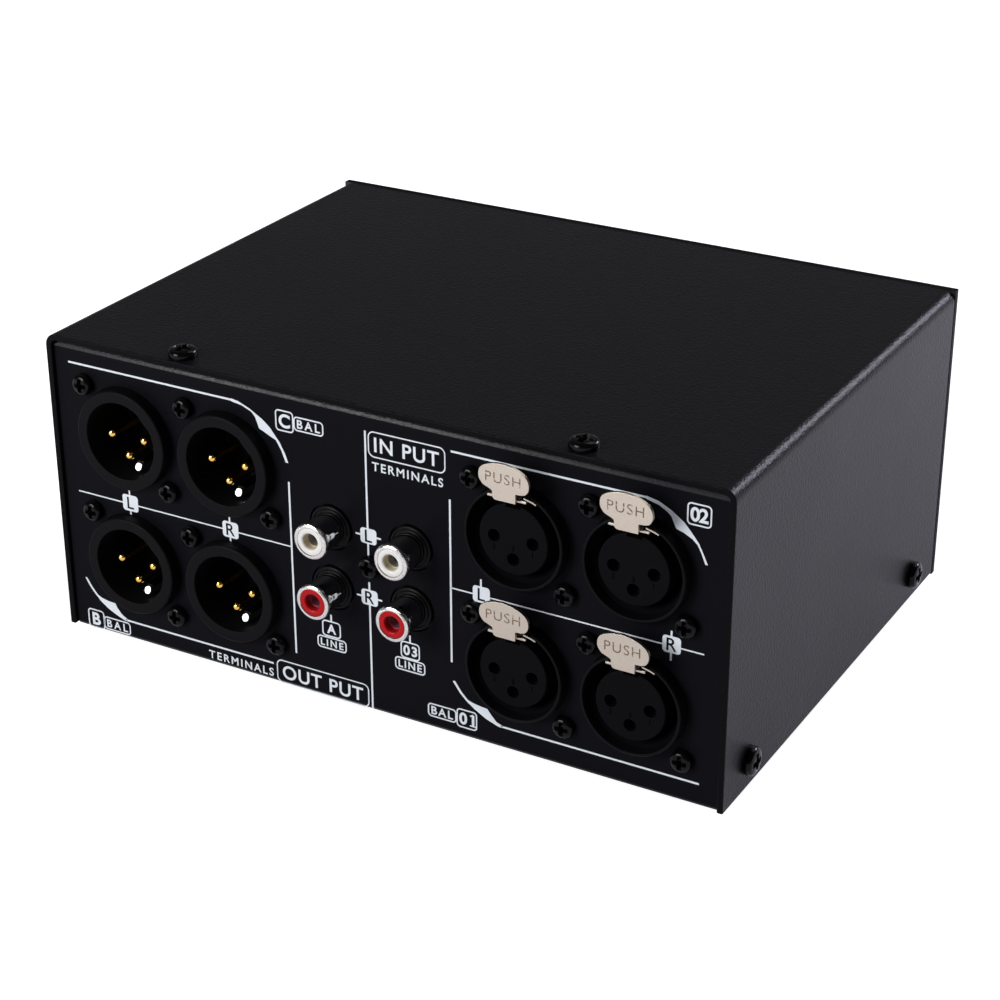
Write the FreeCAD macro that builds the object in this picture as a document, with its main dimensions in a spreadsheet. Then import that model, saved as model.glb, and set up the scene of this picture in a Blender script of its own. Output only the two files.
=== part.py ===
import FreeCAD, Part
import os

import Sketcher
from FreeCAD import Placement, Rotation, Vector

# A balanced and unbalanced line preamplifier without power supply, in a folded steel case.
# Millimetres. Z is up, the dials face -Y, the sockets face +Y, and the feet stand on z = 0.
# The origin is at the middle of the whole outline, dials and sockets included.

DIMENSIONS = [
    ("case_width", 180.0, "outside width of cover and front plate"),
    ("case_depth", 134.0, "from the cover's rear edge to the front plate's face"),
    ("case_height", 79.0, "from the chassis floor's underside to the cover's top"),
    ("cover_sheet", 1.5, "thickness of the cover's steel"),
    ("cover_bend", 3.0, "outside radius of the cover's two bends"),
    ("cover_gap", 0.3, "space between cover and chassis"),
    ("cover_lift", 0.6, "height of the cover's lower edges above the floor's underside"),
    ("chassis_sheet", 1.2, "thickness of the chassis's steel"),
    ("chassis_bend", 1.7, "outside radius of the chassis's bends"),
    ("panel_inset", 1.0, "how far the rear panel lies inside the cover's edge"),
    ("lip_depth", 14.0, "depth of the turned lips at the chassis's top"),
    ("flange_height", 12.0, "height of the turned flanges at the chassis's sides"),
    ("flange_relief", 8.0, "space between those flanges and the chassis's corners"),
    ("plate_thickness", 2.0, "thickness of the front plate"),
    ("plate_chamfer", 0.3, "chamfer round the front plate's face"),
    ("plate_gap", 0.3, "space between the cover and the front plate"),
    ("plate_screw_inset", 10.0, "front plate's screws, from its edges"),
    ("plate_screw_radius", 1.25, "shank of the front plate's screws"),
    ("plate_screw_bite", 1.2, "how deep those screws sit in the front plate"),
    ("cover_screw_x", 52.5, "top screws, from the middle"),
    ("top_screw_inset", 4.3, "top screws, from the cover's rear edge"),
    ("side_screw_height", 7.5, "side screws, above the floor's underside"),
    ("side_screw_rear", 13.4, "rear side screws, from the cover's rear edge"),
    ("side_screw_front", 18.6, "front side screws, from the front plate's face"),
    ("cover_screw_head", 3.5, "radius of the cover screws' heads"),
    ("cover_screw_dome", 2.2, "height of those heads"),
    ("cover_screw_radius", 1.7, "shank of the cover screws"),
    ("cover_screw_tip", 1.8, "top screws' tips, above the round sockets' flanges"),
    ("thread_gap", 0.05, "space between a screw and its hole"),
    ("hole_gap", 0.15, "space between a socket or bush and its hole in a sheet"),
    ("fit_gap", 0.02, "space between pieces that are pushed together"),
    ("running_gap", 0.05, "space between a turning shaft and its bore"),
    ("foot_height", 4.0, "height of the rubber feet"),
    ("foot_radius", 6.2, "radius of a foot at the case"),
    ("foot_taper", 0.6, "how much narrower a foot is at its sole"),
    ("foot_inset", 18.0, "foot centres, from the chassis's outside"),
    ("foot_recess", 2.2, "depth of the screw's recess in a foot"),
    ("foot_screw_head", 2.8, "radius of a foot screw's head"),
    ("foot_screw_dome", 1.7, "height of that head"),
    ("foot_screw_radius", 1.5, "shank of the foot screws"),
    ("foot_screw_length", 5.5, "length of that shank"),
    ("socket_group", 53.3, "middle of each group of four round sockets, from the panel's middle"),
    ("socket_level", 39.5, "height of those middles"),
    ("column_space", 0.8, "space between the flanges of two columns"),
    ("row_space", 3.4, "space between the flanges of two rows"),
    ("socket_depth", 17.0, "how far the sockets reach behind the panel's face"),
    ("flange_side", 2.4, "flange's sides, beyond the socket screws' axes"),
    ("flange_end", 3.5, "flange's ends, above and below those axes"),
    ("socket_flange_thickness", 3.0, "thickness of that flange"),
    ("socket_screw_space", 3.8, "socket screws' axes, outside an output socket's ring"),
    ("socket_screw_head", 2.55, "radius of the socket screws' heads"),
    ("socket_screw_dome", 2.3, "height of those heads"),
    ("socket_screw_radius", 1.3, "shank of the socket screws"),
    ("socket_screw_length", 4.0, "length of that shank"),
    ("socket_edge", 0.4, "rounding of the rings' edges"),
    ("pin_circle", 4.8, "pins and contacts, from the socket's axis"),
    ("output_ring", 12.7, "outside radius of an output socket's ring"),
    ("output_proud", 3.2, "how far that ring stands out of the panel"),
    ("output_bore", 9.8, "radius of the output socket's cup"),
    ("output_floor", 13.0, "floor of that cup, behind the panel's face"),
    ("pin_radius", 1.195, "radius of an output pin"),
    ("pin_proud", 0.8, "how far the pins' tips stand out of the panel's face"),
    ("pin_point", 0.8, "length of a pin's rounded tip"),
    ("tab_x", 1.4, "ground tongue, sideways from the socket's axis"),
    ("tab_z", 7.2, "ground tongue's strip, below that axis"),
    ("tab_width", 1.8, "width of the ground tongue"),
    ("tab_sheet", 0.6, "thickness of the ground tongue"),
    ("tab_depth", 1.0, "tongue's nose, behind the panel's face"),
    ("tab_nose", 2.4, "height of that nose"),
    ("tab_bend", 0.5, "rounding of the bend to the nose"),
    ("input_rim", 12.3, "outside radius of an input socket's rim"),
    ("input_proud", 3.3, "how far that rim stands out of the panel"),
    ("input_mouth", 11.4, "radius of the rim's mouth"),
    ("input_bore", 9.9, "radius of the input socket's cavity"),
    ("input_funnel", 1.7, "depth of the slope from mouth to cavity"),
    ("input_floor", 14.0, "floor of that cavity, behind the panel's face"),
    ("insert_radius", 8.55, "radius of the insert that holds the contacts"),
    ("insert_proud", 2.9, "how far the insert stands out of the panel's face"),
    ("insert_hole", 1.52, "radius of the insert's three holes"),
    ("key_width", 3.0, "width of the insert's key notch"),
    ("key_depth", 0.9, "depth of that notch in the insert's rim"),
    ("key_length", 6.0, "length of that notch"),
    ("contact_radius", 1.45, "outside radius of a contact sleeve"),
    ("contact_bore", 1.22, "bore of a contact sleeve"),
    ("contact_recess", 2.4, "contact sleeves, behind the insert's face"),
    ("tail_radius", 0.6, "radius of the solder tails of pins and contacts"),
    ("latch_width", 12.8, "width of a latch's thumb plate"),
    ("latch_height", 7.3, "height of that plate"),
    ("latch_sheet", 0.8, "thickness of the latch's metal"),
    ("latch_corner", 3.1, "corner radius of the thumb plate"),
    ("latch_proud", 7.4, "plate's face, out of the panel's face"),
    ("latch_low", 13.5, "plate's lower edge, above the socket's axis"),
    ("latch_stem", 5.8, "width of the latch's stem and slide"),
    ("latch_level", 10.9, "underside of the latch's slide, above the socket's axis"),
    ("latch_reach", 12.0, "end of the latch's slide, behind the panel's face"),
    ("latch_travel", 1.8, "how far a latch is pushed in"),
    ("latch_bar", 8.6, "width of the bar across the latch's slide"),
    ("latch_bar_height", 0.6, "height of that bar"),
    ("latch_bar_proud", 1.4, "bar's front, out of the panel's face"),
    ("latch_gap", 0.3, "space round the slide in its channel"),
    ("channel_depth", 16.0, "end of that channel, behind the panel's face"),
    ("spring_radius", 0.6, "outside radius of the latch spring"),
    ("spring_bore", 0.35, "inside radius of the latch spring"),
    ("board_gap", 0.3, "space between the sockets and their circuit board"),
    ("board_thickness", 1.6, "thickness of that board"),
    ("board_width", 166.0, "width of that board"),
    ("board_height", 62.0, "height of that board"),
    ("phono_column", 10.7, "columns of phono jacks, from the middle"),
    ("phono_level", 38.3, "height midway between the two rows of phono jacks"),
    ("phono_row", 7.8, "rows of phono jacks, from that height"),
    ("phono_hole", 5.9, "radius of the panel's holes for them"),
    ("phono_boss", 5.3, "radius of the collar round each jack"),
    ("phono_boss_proud", 0.4, "how far the collars stand out of the panel"),
    ("phono_block_width", 33.0, "width of the block that holds the jacks"),
    ("phono_block_height", 28.0, "height of that block"),
    ("phono_block_depth", 12.0, "depth of that block"),
    ("phono_bore", 8.0, "depth of a jack's seat, behind the panel's face"),
    ("phono_screw_lift", 0.6, "block's screw, above the jacks' middle height"),
    ("phono_screw_length", 8.0, "length of that screw's shank"),
    ("barrel_radius", 4.1, "outside radius of a jack's barrel"),
    ("barrel_reach", 9.0, "jack's face, out of the panel's face"),
    ("lip_radius", 4.4, "radius of the lip at a jack's face"),
    ("lip_length", 1.4, "length of that lip"),
    ("insulator_radius", 3.37, "radius of a jack's coloured insulator"),
    ("insulator_hole", 1.75, "radius of the hole for the plug's pin"),
    ("insulator_recess", 0.15, "insulator's face, behind the jack's face"),
    ("sleeve_radius", 2.3, "outside radius of the contact in a jack"),
    ("sleeve_bore", 1.62, "bore of that contact, where it grips the plug's pin"),
    ("sleeve_grip", 4.5, "length of that bore"),
    ("sleeve_room", 1.95, "radius of the room behind it for the pin's tip"),
    ("sleeve_depth", 4.0, "contact's mouth, behind the jack's face"),
    ("dial_x", 52.0, "selectors, from the middle"),
    ("dial_level", 39.5, "height of the dials above the floor's underside"),
    ("bush_radius", 4.5, "radius of a control's threaded bush"),
    ("bush_reach", 5.0, "how far the bush stands out of the front plate"),
    ("shaft_radius", 3.0, "radius of a control's shaft"),
    ("shaft_flat", 0.8, "depth of the flat on the shaft's end"),
    ("shaft_flat_length", 7.0, "length of that flat"),
    ("shaft_reach", 14.0, "shaft's end, out of the front plate"),
    ("shaft_bearing", 10.0, "how far the shaft runs inside the control's case"),
    ("nut_flats", 12.0, "width across the nuts' flats"),
    ("nut_thickness", 2.5, "thickness of a nut"),
    ("washer_radius", 7.5, "radius of a washer"),
    ("washer_thickness", 0.8, "thickness of a washer"),
    ("knob_gap", 1.0, "space between a knob and the front plate"),
    ("volume_knob_radius", 17.0, "radius of the volume knob"),
    ("volume_knob_depth", 17.0, "depth of the volume knob"),
    ("selector_knob_radius", 11.0, "radius of a selector's knob"),
    ("selector_knob_depth", 15.0, "depth of a selector's knob"),
    ("knob_recess", 8.6, "radius of the recess in a knob's back"),
    ("knob_recess_depth", 6.5, "depth of that recess"),
    ("knob_rounding", 1.0, "rounding of a knob's front edge"),
    ("pointer_width", 1.2, "width of a knob's pointer groove"),
    ("pointer_length", 7.0, "length of that groove"),
    ("pointer_depth", 0.6, "depth of that groove"),
    ("pointer_inset", 1.5, "groove's outer end, from the knob's rim"),
    ("grub_radius", 1.5, "radius of the grub screws"),
    ("grub_length", 5.0, "length of a grub screw"),
    ("grub_hexagon", 1.5, "width across a grub screw's socket"),
    ("grub_place", 11.5, "grub screws, out of the front plate"),
    ("volume_case_width", 27.0, "width and height of the volume control's case"),
    ("volume_case_depth", 34.0, "depth of that case"),
    ("switch_case_radius", 13.0, "radius of a selector switch's case"),
    ("switch_case_depth", 24.0, "depth of that case"),
    ("header_width", 24.0, "width of a ribbon header"),
    ("header_height", 6.0, "height of a ribbon header"),
    ("header_depth", 8.0, "depth of a ribbon header"),
    ("header_level", 62.0, "middle of the headers, above the floor's underside"),
    ("ribbon_width", 20.0, "width of a ribbon cable"),
    ("ribbon_sheet", 1.0, "thickness of a ribbon cable"),
    ("ribbon_bend", 8.0, "inside radius of a ribbon cable's bends"),
    ("ribbon_straight", 14.0, "straight stretch at a ribbon cable's ends"),
    ("ribbon_drop", 17.0, "how far a ribbon cable comes down on its way"),
]


class Size:
    """A length as a number and as the formula over the sheet that gives it."""

    def __init__(self, value, formula):
        self.value = value
        self.formula = formula

    def __add__(self, other):
        return Size(self.value + number(other), f"({self.formula} + {formula(other)})")

    def __radd__(self, other):
        return Size(other + self.value, f"({other} + {self.formula})")

    def __sub__(self, other):
        return Size(self.value - number(other), f"({self.formula} - {formula(other)})")

    def __mul__(self, other):
        return Size(self.value * number(other), f"({self.formula} * {formula(other)})")

    def __rmul__(self, other):
        return Size(other * self.value, f"({other} * {self.formula})")

    def __truediv__(self, other):
        return Size(self.value / number(other), f"({self.formula} / {formula(other)})")

    def __neg__(self):
        return Size(-self.value, f"(-1 * {self.formula})")


def number(length):
    return length.value if isinstance(length, Size) else float(length)


def formula(length):
    return length.formula if isinstance(length, Size) else f"({length})"


class Sizes:
    """The driving dimensions, each by its name."""


document = FreeCAD.newDocument("passive_preamplifier")
sheet = document.addObject("Spreadsheet::Sheet", "sizes")
size = Sizes()
for row, (name, value, meaning) in enumerate(DIMENSIONS, start=1):
    sheet.set(f"A{row}", name)
    sheet.set(f"B{row}", str(value))
    sheet.set(f"C{row}", meaning)
    sheet.setAlias(f"B{row}", name)
    setattr(size, name, Size(value, f"sizes.{name}"))
document.recompute()

pieces = []


# Sketches and features


def place(thing, x, y, z, rotation=Rotation()):
    """Turns a thing, then ties its place to the sheet."""
    thing.Placement = Placement(Vector(number(x), number(y), number(z)), rotation)
    for axis, distance in (("x", x), ("y", y), ("z", z)):
        if isinstance(distance, Size):
            thing.setExpression(f"Placement.Base.{axis}", formula(distance))


def new_body(label, x=0, y=0, z=0, kept=True, many=False):
    """A body with its own origin; kept ones become pieces of their own."""
    body = document.addObject("PartDesign::Body", label)
    body.Label = label
    body.AllowCompound = many
    place(body, x, y, z)
    if kept:
        pieces.append(body)
    return body


def new_sketch(body, plane, offset=None):
    """A sketch on one of the body's origin planes, moved along the plane's normal."""
    sketch = body.newObject("Sketcher::SketchObject", "Sketch")
    support = [part for part in body.Origin.OriginFeatures if part.Role == plane][0]
    sketch.AttachmentSupport = [(support, "")]
    sketch.MapMode = "FlatFace"
    if offset is not None:
        sketch.setExpression("AttachmentOffset.Base.z", formula(offset))
    return sketch


def tie(sketch, constraint, length):
    index = sketch.addConstraint(constraint)
    if isinstance(length, Size):
        sketch.setExpression(f"Constraints[{index}]", formula(length))


def fix_point(sketch, geometry, vertex, x, y):
    """Ties a point's two coordinates; a plain zero puts the point on the axis."""
    for kind, length, axis in (("DistanceX", x, -2), ("DistanceY", y, -1)):
        if number(length) == 0:
            sketch.addConstraint(Sketcher.Constraint("PointOnObject", geometry, vertex, axis))
        else:
            tie(sketch, Sketcher.Constraint(kind, -1, 1, geometry, vertex, number(length)), length)


def draw_circle(sketch, x, y, radius):
    centre = Vector(number(x), number(y), 0)
    index = sketch.addGeometry(Part.Circle(centre, Vector(0, 0, 1), number(radius)))
    fix_point(sketch, index, 3, x, y)
    tie(sketch, Sketcher.Constraint("Radius", index, number(radius)), radius)


def draw_outline(sketch, points):
    """A closed outline of straight lines through the points."""
    corners = [Vector(number(x), number(y), 0) for x, y in points]
    ends = corners[1:] + corners[:1]
    lines = [sketch.addGeometry(Part.LineSegment(a, b)) for a, b in zip(corners, ends)]
    for line, following in zip(lines, lines[1:] + lines[:1]):
        sketch.addConstraint(Sketcher.Constraint("Coincident", line, 2, following, 1))
    for line, (x, y) in zip(lines, points):
        fix_point(sketch, line, 1, x, y)


def draw_rectangle(sketch, left, right, low, high):
    draw_outline(sketch, [(left, low), (right, low), (right, high), (left, high)])


def pad(body, sketch, length, both_ways=False):
    """Adds material along the sketch's normal, or half each way."""
    feature = body.newObject("PartDesign::Pad", "Pad")
    feature.Profile = sketch
    feature.setExpression("Length", formula(length))
    feature.Midplane = both_ways
    document.recompute()
    return feature


def cut(body, sketch, length, along_normal=False, both_ways=False):
    """Takes material away against the sketch's normal, along it, or half each way."""
    before = body.Shape.Volume
    feature = body.newObject("PartDesign::Pocket", "Pocket")
    feature.Profile = sketch
    feature.setExpression("Length", formula(length))
    feature.Reversed = along_normal
    feature.Midplane = both_ways
    document.recompute()
    if body.Shape.Volume >= before - 1e-6:
        raise RuntimeError(f"a cut in {body.Label} takes nothing away")
    return feature


def turn(body, points):
    """Revolves an outline of (radius, y) points about the body's Y axis."""
    sketch = new_sketch(body, "XY_Plane")
    draw_outline(sketch, points)
    feature = body.newObject("PartDesign::Revolution", "Revolution")
    feature.Profile = sketch
    feature.ReferenceAxis = (sketch, ["V_Axis"])
    feature.Angle = 360
    document.recompute()
    return feature


def dress(body, kind, amount, chosen):
    """Rounds or chamfers those edges of the body that the test chooses."""
    base = body.Tip
    edges = [f"Edge{i}" for i, edge in enumerate(base.Shape.Edges, start=1) if chosen(edge)]
    if not edges:
        raise RuntimeError(f"no edge of {body.Label} to dress")
    feature = body.newObject(f"PartDesign::{kind}", kind)
    feature.Base = (base, edges)
    feature.setExpression("Radius" if kind == "Fillet" else "Size", formula(amount))
    document.recompute()
    return feature


def straight_along(direction, corners):
    """A test for straight edges along a direction that pass through one of the corners."""

    def chosen(edge):
        if edge.Curve.TypeId != "Part::GeomLine":
            return False
        if abs(edge.Curve.Direction.dot(direction)) < 0.999:
            return False
        start = edge.Vertexes[0].Point
        for corner in corners:
            away = start - Vector(*[number(c) for c in corner])
            if (away - direction * away.dot(direction)).Length < 0.01:
                return True
        return False

    return chosen


def ring_at(radius, y):
    """A test for the round edge of a given radius about Y at a given y."""

    def chosen(edge):
        if edge.Curve.TypeId != "Part::GeomCircle":
            return False
        centre = edge.Curve.Center
        same_place = abs(centre.y - number(y)) < 0.01 and abs(centre.x) + abs(centre.z) < 0.01
        return same_place and abs(edge.Curve.Radius - number(radius)) < 0.01

    return chosen


def copies(label, master, places):
    """One piece made of copies of a master body, at (x, y, z, rotation) places."""
    links = []
    for x, y, z, rotation in places:
        link = document.addObject("App::Link", f"{label}_copy")
        link.LinkedObject = master
        place(link, x, y, z, rotation)
        links.append(link)
    piece = document.addObject("Part::Compound", label)
    piece.Label = label
    piece.Links = links
    pieces.append(piece)
    return piece


# Places that several pieces share

X_AXIS = Vector(1, 0, 0)
Y_AXIS = Vector(0, 1, 0)
Z_AXIS = Vector(0, 0, 1)
FACING_REAR = Rotation()
FACING_UP = Rotation(X_AXIS, 90)
FACING_DOWN = Rotation(X_AXIS, -90)
FACING_RIGHT = Rotation(Z_AXIS, -90)
FACING_LEFT = Rotation(Z_AXIS, 90)

# The way from a socket's axis to its upper screw, as shares of their distance.
SCREW_SIDEWAYS = 0.715
SCREW_UPRIGHT = 0.697

knob_front = size.knob_gap + size.volume_knob_depth
forward = (knob_front + size.panel_inset - size.barrel_reach) / 2
rear_y = size.case_depth / 2 - size.panel_inset + forward
front_y = forward - size.case_depth / 2
floor_z = size.foot_height
inner_depth = size.case_depth - size.panel_inset - size.plate_thickness
half_width = size.case_width / 2
side_screws = (size.side_screw_rear, size.case_depth - size.side_screw_front)
chassis_half = half_width - size.cover_sheet - size.cover_gap
chassis_top = size.case_height - size.cover_sheet - size.cover_gap
board_y = size.socket_depth + size.board_gap
socket_screw = size.output_ring + size.socket_screw_space
screw_x = socket_screw * SCREW_SIDEWAYS
screw_z = socket_screw * SCREW_UPRIGHT
flange_half = screw_x + size.flange_side
flange_tall = screw_z + size.flange_end
inner_column = size.socket_group - flange_half - size.column_space / 2
outer_column = size.socket_group + flange_half + size.column_space / 2
upper_row = size.socket_level + flange_tall + size.row_space / 2
lower_row = size.socket_level - flange_tall - size.row_space / 2
cover_screw_length = size.case_height - size.cover_screw_tip - upper_row - flange_tall
phono_upper = size.phono_level + size.phono_row
phono_lower = size.phono_level - size.phono_row

OUTPUT_SOCKETS = {
    "c_left": (outer_column, upper_row),
    "c_right": (inner_column, upper_row),
    "b_left": (outer_column, lower_row),
    "b_right": (inner_column, lower_row),
}
INPUT_SOCKETS = {
    "2_left": (-inner_column, upper_row),
    "2_right": (-outer_column, upper_row),
    "1_left": (-inner_column, lower_row),
    "1_right": (-outer_column, lower_row),
}
PHONO_JACKS = {
    "output_left": (size.phono_column, phono_upper),
    "output_right": (size.phono_column, phono_lower),
    "input_left": (-size.phono_column, phono_upper),
    "input_right": (-size.phono_column, phono_lower),
}
SCREW_PLACES = [(screw_x, screw_z), (-screw_x, -screw_z)]
PIN_PLACES = [(size.pin_circle, 0), (-size.pin_circle, 0), (0, -size.pin_circle)]
MIDDLE = Size(0.0, "0")
DIALS = {"input": -size.dial_x, "volume": MIDDLE, "output": size.dial_x}
FEET = [
    (side * (chassis_half - size.foot_inset), along)
    for side in (1, -1)
    for along in (-size.foot_inset, size.foot_inset - inner_depth)
]
PLATE_SCREWS = [
    (side * (half_width - size.plate_screw_inset), level)
    for side in (1, -1)
    for level in (size.plate_screw_inset, size.case_height - size.plate_screw_inset)
]


# Case


def base_chassis():
    """Floor, rear panel and front wall folded from one sheet, with lips and side flanges."""
    body = new_body("base_chassis", 0, rear_y, floor_z)
    wall = size.chassis_sheet
    profile = new_sketch(body, "YZ_Plane")
    draw_rectangle(profile, -inner_depth, 0, 0, chassis_top)
    draw_rectangle(profile, wall - inner_depth, -wall, wall, chassis_top - wall)
    pad(body, profile, 2 * chassis_half, both_ways=True)
    outer = [(0, y, z) for y in (0, -inner_depth) for z in (0, chassis_top)]
    dress(body, "Fillet", size.chassis_bend, straight_along(X_AXIS, outer))
    inner = [(0, y, z) for y in (-wall, wall - inner_depth) for z in (wall, chassis_top - wall)]
    dress(body, "Fillet", size.chassis_bend - wall, straight_along(X_AXIS, inner))

    opening = new_sketch(body, "XY_Plane", chassis_top)
    draw_rectangle(
        opening, -half_width, half_width, size.lip_depth - inner_depth, -size.lip_depth
    )
    cut(body, opening, 2 * wall)

    # The top corners are cut back, clear of the inside of the cover's bends.
    back = (size.cover_bend - size.cover_sheet) * 0.8
    corners = new_sketch(body, "XZ_Plane")
    for side in (1, -1):
        edge = side * chassis_half
        draw_outline(corners, [
            (edge - side * back, chassis_top), (edge, chassis_top - back), (edge, chassis_top)
        ])
    cut(body, corners, inner_depth, along_normal=True)

    flanges = new_sketch(body, "XZ_Plane", size.flange_relief)
    draw_rectangle(flanges, chassis_half - wall, chassis_half, 0, size.flange_height)
    draw_rectangle(flanges, -chassis_half, wall - chassis_half, 0, size.flange_height)
    pad(body, flanges, inner_depth - 2 * size.flange_relief)

    rear_holes = new_sketch(body, "XZ_Plane")
    for x, z in OUTPUT_SOCKETS.values():
        draw_circle(rear_holes, x, z, size.output_ring + size.hole_gap)
    for x, z in INPUT_SOCKETS.values():
        draw_circle(rear_holes, x, z, size.input_rim + size.hole_gap)
    for x, z in PHONO_JACKS.values():
        draw_circle(rear_holes, x, z, size.phono_hole)
    thread = size.socket_screw_radius + size.thread_gap
    for x, z in [*OUTPUT_SOCKETS.values(), *INPUT_SOCKETS.values()]:
        for dx, dz in SCREW_PLACES:
            draw_circle(rear_holes, x + dx, z + dz, thread)
    draw_circle(rear_holes, 0, size.phono_level + size.phono_screw_lift, thread)
    cut(body, rear_holes, 2 * wall, along_normal=True)

    front_holes = new_sketch(body, "XZ_Plane", inner_depth - 2 * wall)
    for x in DIALS.values():
        draw_circle(front_holes, x, size.dial_level, size.bush_radius + size.hole_gap)
    for x, z in PLATE_SCREWS:
        draw_circle(front_holes, x, z, size.plate_screw_radius + size.thread_gap)
    cut(body, front_holes, 3 * wall, along_normal=True)

    floor_holes = new_sketch(body, "XY_Plane")
    for x, y in FEET:
        draw_circle(floor_holes, x, y, size.foot_screw_radius + size.thread_gap)
    cut(body, floor_holes, 2 * wall, along_normal=True)

    screw_hole = size.cover_screw_radius + size.thread_gap
    lip_holes = new_sketch(body, "XY_Plane", chassis_top)
    for x in (-size.cover_screw_x, size.cover_screw_x):
        draw_circle(lip_holes, x, size.panel_inset - size.top_screw_inset, screw_hole)
    cut(body, lip_holes, 2 * wall)

    side_holes = new_sketch(body, "YZ_Plane")
    for inset in side_screws:
        draw_circle(side_holes, size.panel_inset - inset, size.side_screw_height, screw_hole)
    cut(body, side_holes, 2 * half_width, both_ways=True)


def top_cover():
    """Top and both sides, folded from one sheet."""
    body = new_body("top_cover", 0, rear_y, floor_z)
    wall = size.cover_sheet
    inside = half_width - wall
    profile = new_sketch(body, "XZ_Plane", -size.panel_inset)
    draw_outline(profile, [
        (-half_width, size.cover_lift),
        (-inside, size.cover_lift),
        (-inside, size.case_height - wall),
        (inside, size.case_height - wall),
        (inside, size.cover_lift),
        (half_width, size.cover_lift),
        (half_width, size.case_height),
        (-half_width, size.case_height),
    ])
    pad(body, profile, inner_depth + size.panel_inset - size.plate_gap)
    outer = [(x, 0, size.case_height) for x in (-half_width, half_width)]
    dress(body, "Fillet", size.cover_bend, straight_along(Y_AXIS, outer))
    inner = [(x, 0, size.case_height - wall) for x in (-inside, inside)]
    dress(body, "Fillet", size.cover_bend - wall, straight_along(Y_AXIS, inner))

    hole = size.cover_screw_radius + size.hole_gap
    top_holes = new_sketch(body, "XY_Plane", size.case_height)
    for x in (-size.cover_screw_x, size.cover_screw_x):
        draw_circle(top_holes, x, size.panel_inset - size.top_screw_inset, hole)
    cut(body, top_holes, 2 * wall)
    side_holes = new_sketch(body, "YZ_Plane")
    for inset in side_screws:
        draw_circle(side_holes, size.panel_inset - inset, size.side_screw_height, hole)
    cut(body, side_holes, size.case_width + 2 * wall, both_ways=True)


def front_panel():
    """Aluminium plate with holes for three bushes and blind holes behind for its screws."""
    body = new_body("front_panel", 0, front_y, floor_z)
    face = new_sketch(body, "XZ_Plane", -size.plate_thickness)
    draw_rectangle(face, -half_width, half_width, 0, size.case_height)
    for x in DIALS.values():
        draw_circle(face, x, size.dial_level, size.bush_radius + size.hole_gap)
    pad(body, face, size.plate_thickness)
    sides = [(x, 0, 0) for x in (-half_width, half_width)]
    dress(body, "Chamfer", size.plate_chamfer, straight_along(Z_AXIS, sides))
    blind = new_sketch(body, "XZ_Plane", -size.plate_thickness)
    for x, z in PLATE_SCREWS:
        draw_circle(blind, x, z, size.plate_screw_radius + size.thread_gap)
    cut(body, blind, size.plate_screw_bite + size.plate_chamfer, along_normal=True)


def screw(label, head, dome, radius, length):
    """A pan head screw along Y: its head seats on y = 0 and its shank runs to -Y."""
    body = new_body(label, kept=False)
    turn(body, [
        (0, -length),
        (radius * 0.8, -length),
        (radius, radius * 0.4 - length),
        (radius, 0),
        (head, 0),
        (head, dome * 0.45),
        (head * 0.8, dome * 0.85),
        (head * 0.45, dome),
        (0, dome),
    ])
    arm = head * 0.55
    slot = head * 0.14
    cross = new_sketch(body, "XZ_Plane", -dome)
    draw_outline(cross, [
        (slot, slot), (arm, slot), (arm, -slot), (slot, -slot),
        (slot, -arm), (-slot, -arm), (-slot, -slot), (-arm, -slot),
        (-arm, slot), (-slot, slot), (-slot, arm), (slot, arm),
    ])
    cut(body, cross, dome * 0.6, along_normal=True)
    return body


def case_fasteners():
    cover_screw = screw(
        "cover_screw_form",
        size.cover_screw_head,
        size.cover_screw_dome,
        size.cover_screw_radius,
        cover_screw_length,
    )
    cover_edge = rear_y + size.panel_inset
    places = [
        (x, cover_edge - size.top_screw_inset, floor_z + size.case_height, FACING_UP)
        for x in (-size.cover_screw_x, size.cover_screw_x)
    ]
    for inset in side_screws:
        level = floor_z + size.side_screw_height
        places.append((half_width, cover_edge - inset, level, FACING_RIGHT))
        places.append((-half_width, cover_edge - inset, level, FACING_LEFT))
    copies("cover_screws", cover_screw, places)

    plate_screw = screw(
        "plate_screw_form",
        2 * size.plate_screw_radius,
        1.5 * size.plate_screw_radius,
        size.plate_screw_radius,
        size.chassis_sheet + size.plate_screw_bite,
    )
    seat = front_y + size.plate_thickness + size.chassis_sheet
    copies("front_panel_screws", plate_screw, [
        (x, seat, floor_z + z, FACING_REAR) for x, z in PLATE_SCREWS
    ])


def feet():
    foot = new_body("foot_form", kept=False)
    sole = size.foot_height
    recess = size.foot_screw_head + 3 * size.hole_gap
    bore = size.foot_screw_radius + size.hole_gap
    turn(foot, [
        (bore, 0),
        (size.foot_radius, 0),
        (size.foot_radius - size.foot_taper, sole),
        (recess, sole),
        (recess, sole - size.foot_recess),
        (bore, sole - size.foot_recess),
    ])
    copies("rubber_feet", foot, [
        (x, rear_y + y, floor_z, FACING_DOWN) for x, y in FEET
    ])
    foot_screw = screw(
        "foot_screw_form",
        size.foot_screw_head,
        size.foot_screw_dome,
        size.foot_screw_radius,
        size.foot_screw_length,
    )
    copies("foot_screws", foot_screw, [
        (x, rear_y + y, size.foot_recess, FACING_DOWN) for x, y in FEET
    ])


# Round sockets


def socket_flange(body, hollow):
    """The square flange behind the panel, with its two screw holes."""
    face = new_sketch(body, "XZ_Plane", size.chassis_sheet)
    draw_rectangle(face, -flange_half, flange_half, -flange_tall, flange_tall)
    draw_circle(face, 0, 0, hollow)
    pad(body, face, size.socket_flange_thickness)
    holes = new_sketch(body, "XZ_Plane", size.chassis_sheet)
    for x, z in SCREW_PLACES:
        draw_circle(holes, x, z, size.socket_screw_radius + size.thread_gap)
    cut(body, holes, size.socket_flange_thickness + size.thread_gap, along_normal=True)


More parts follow.
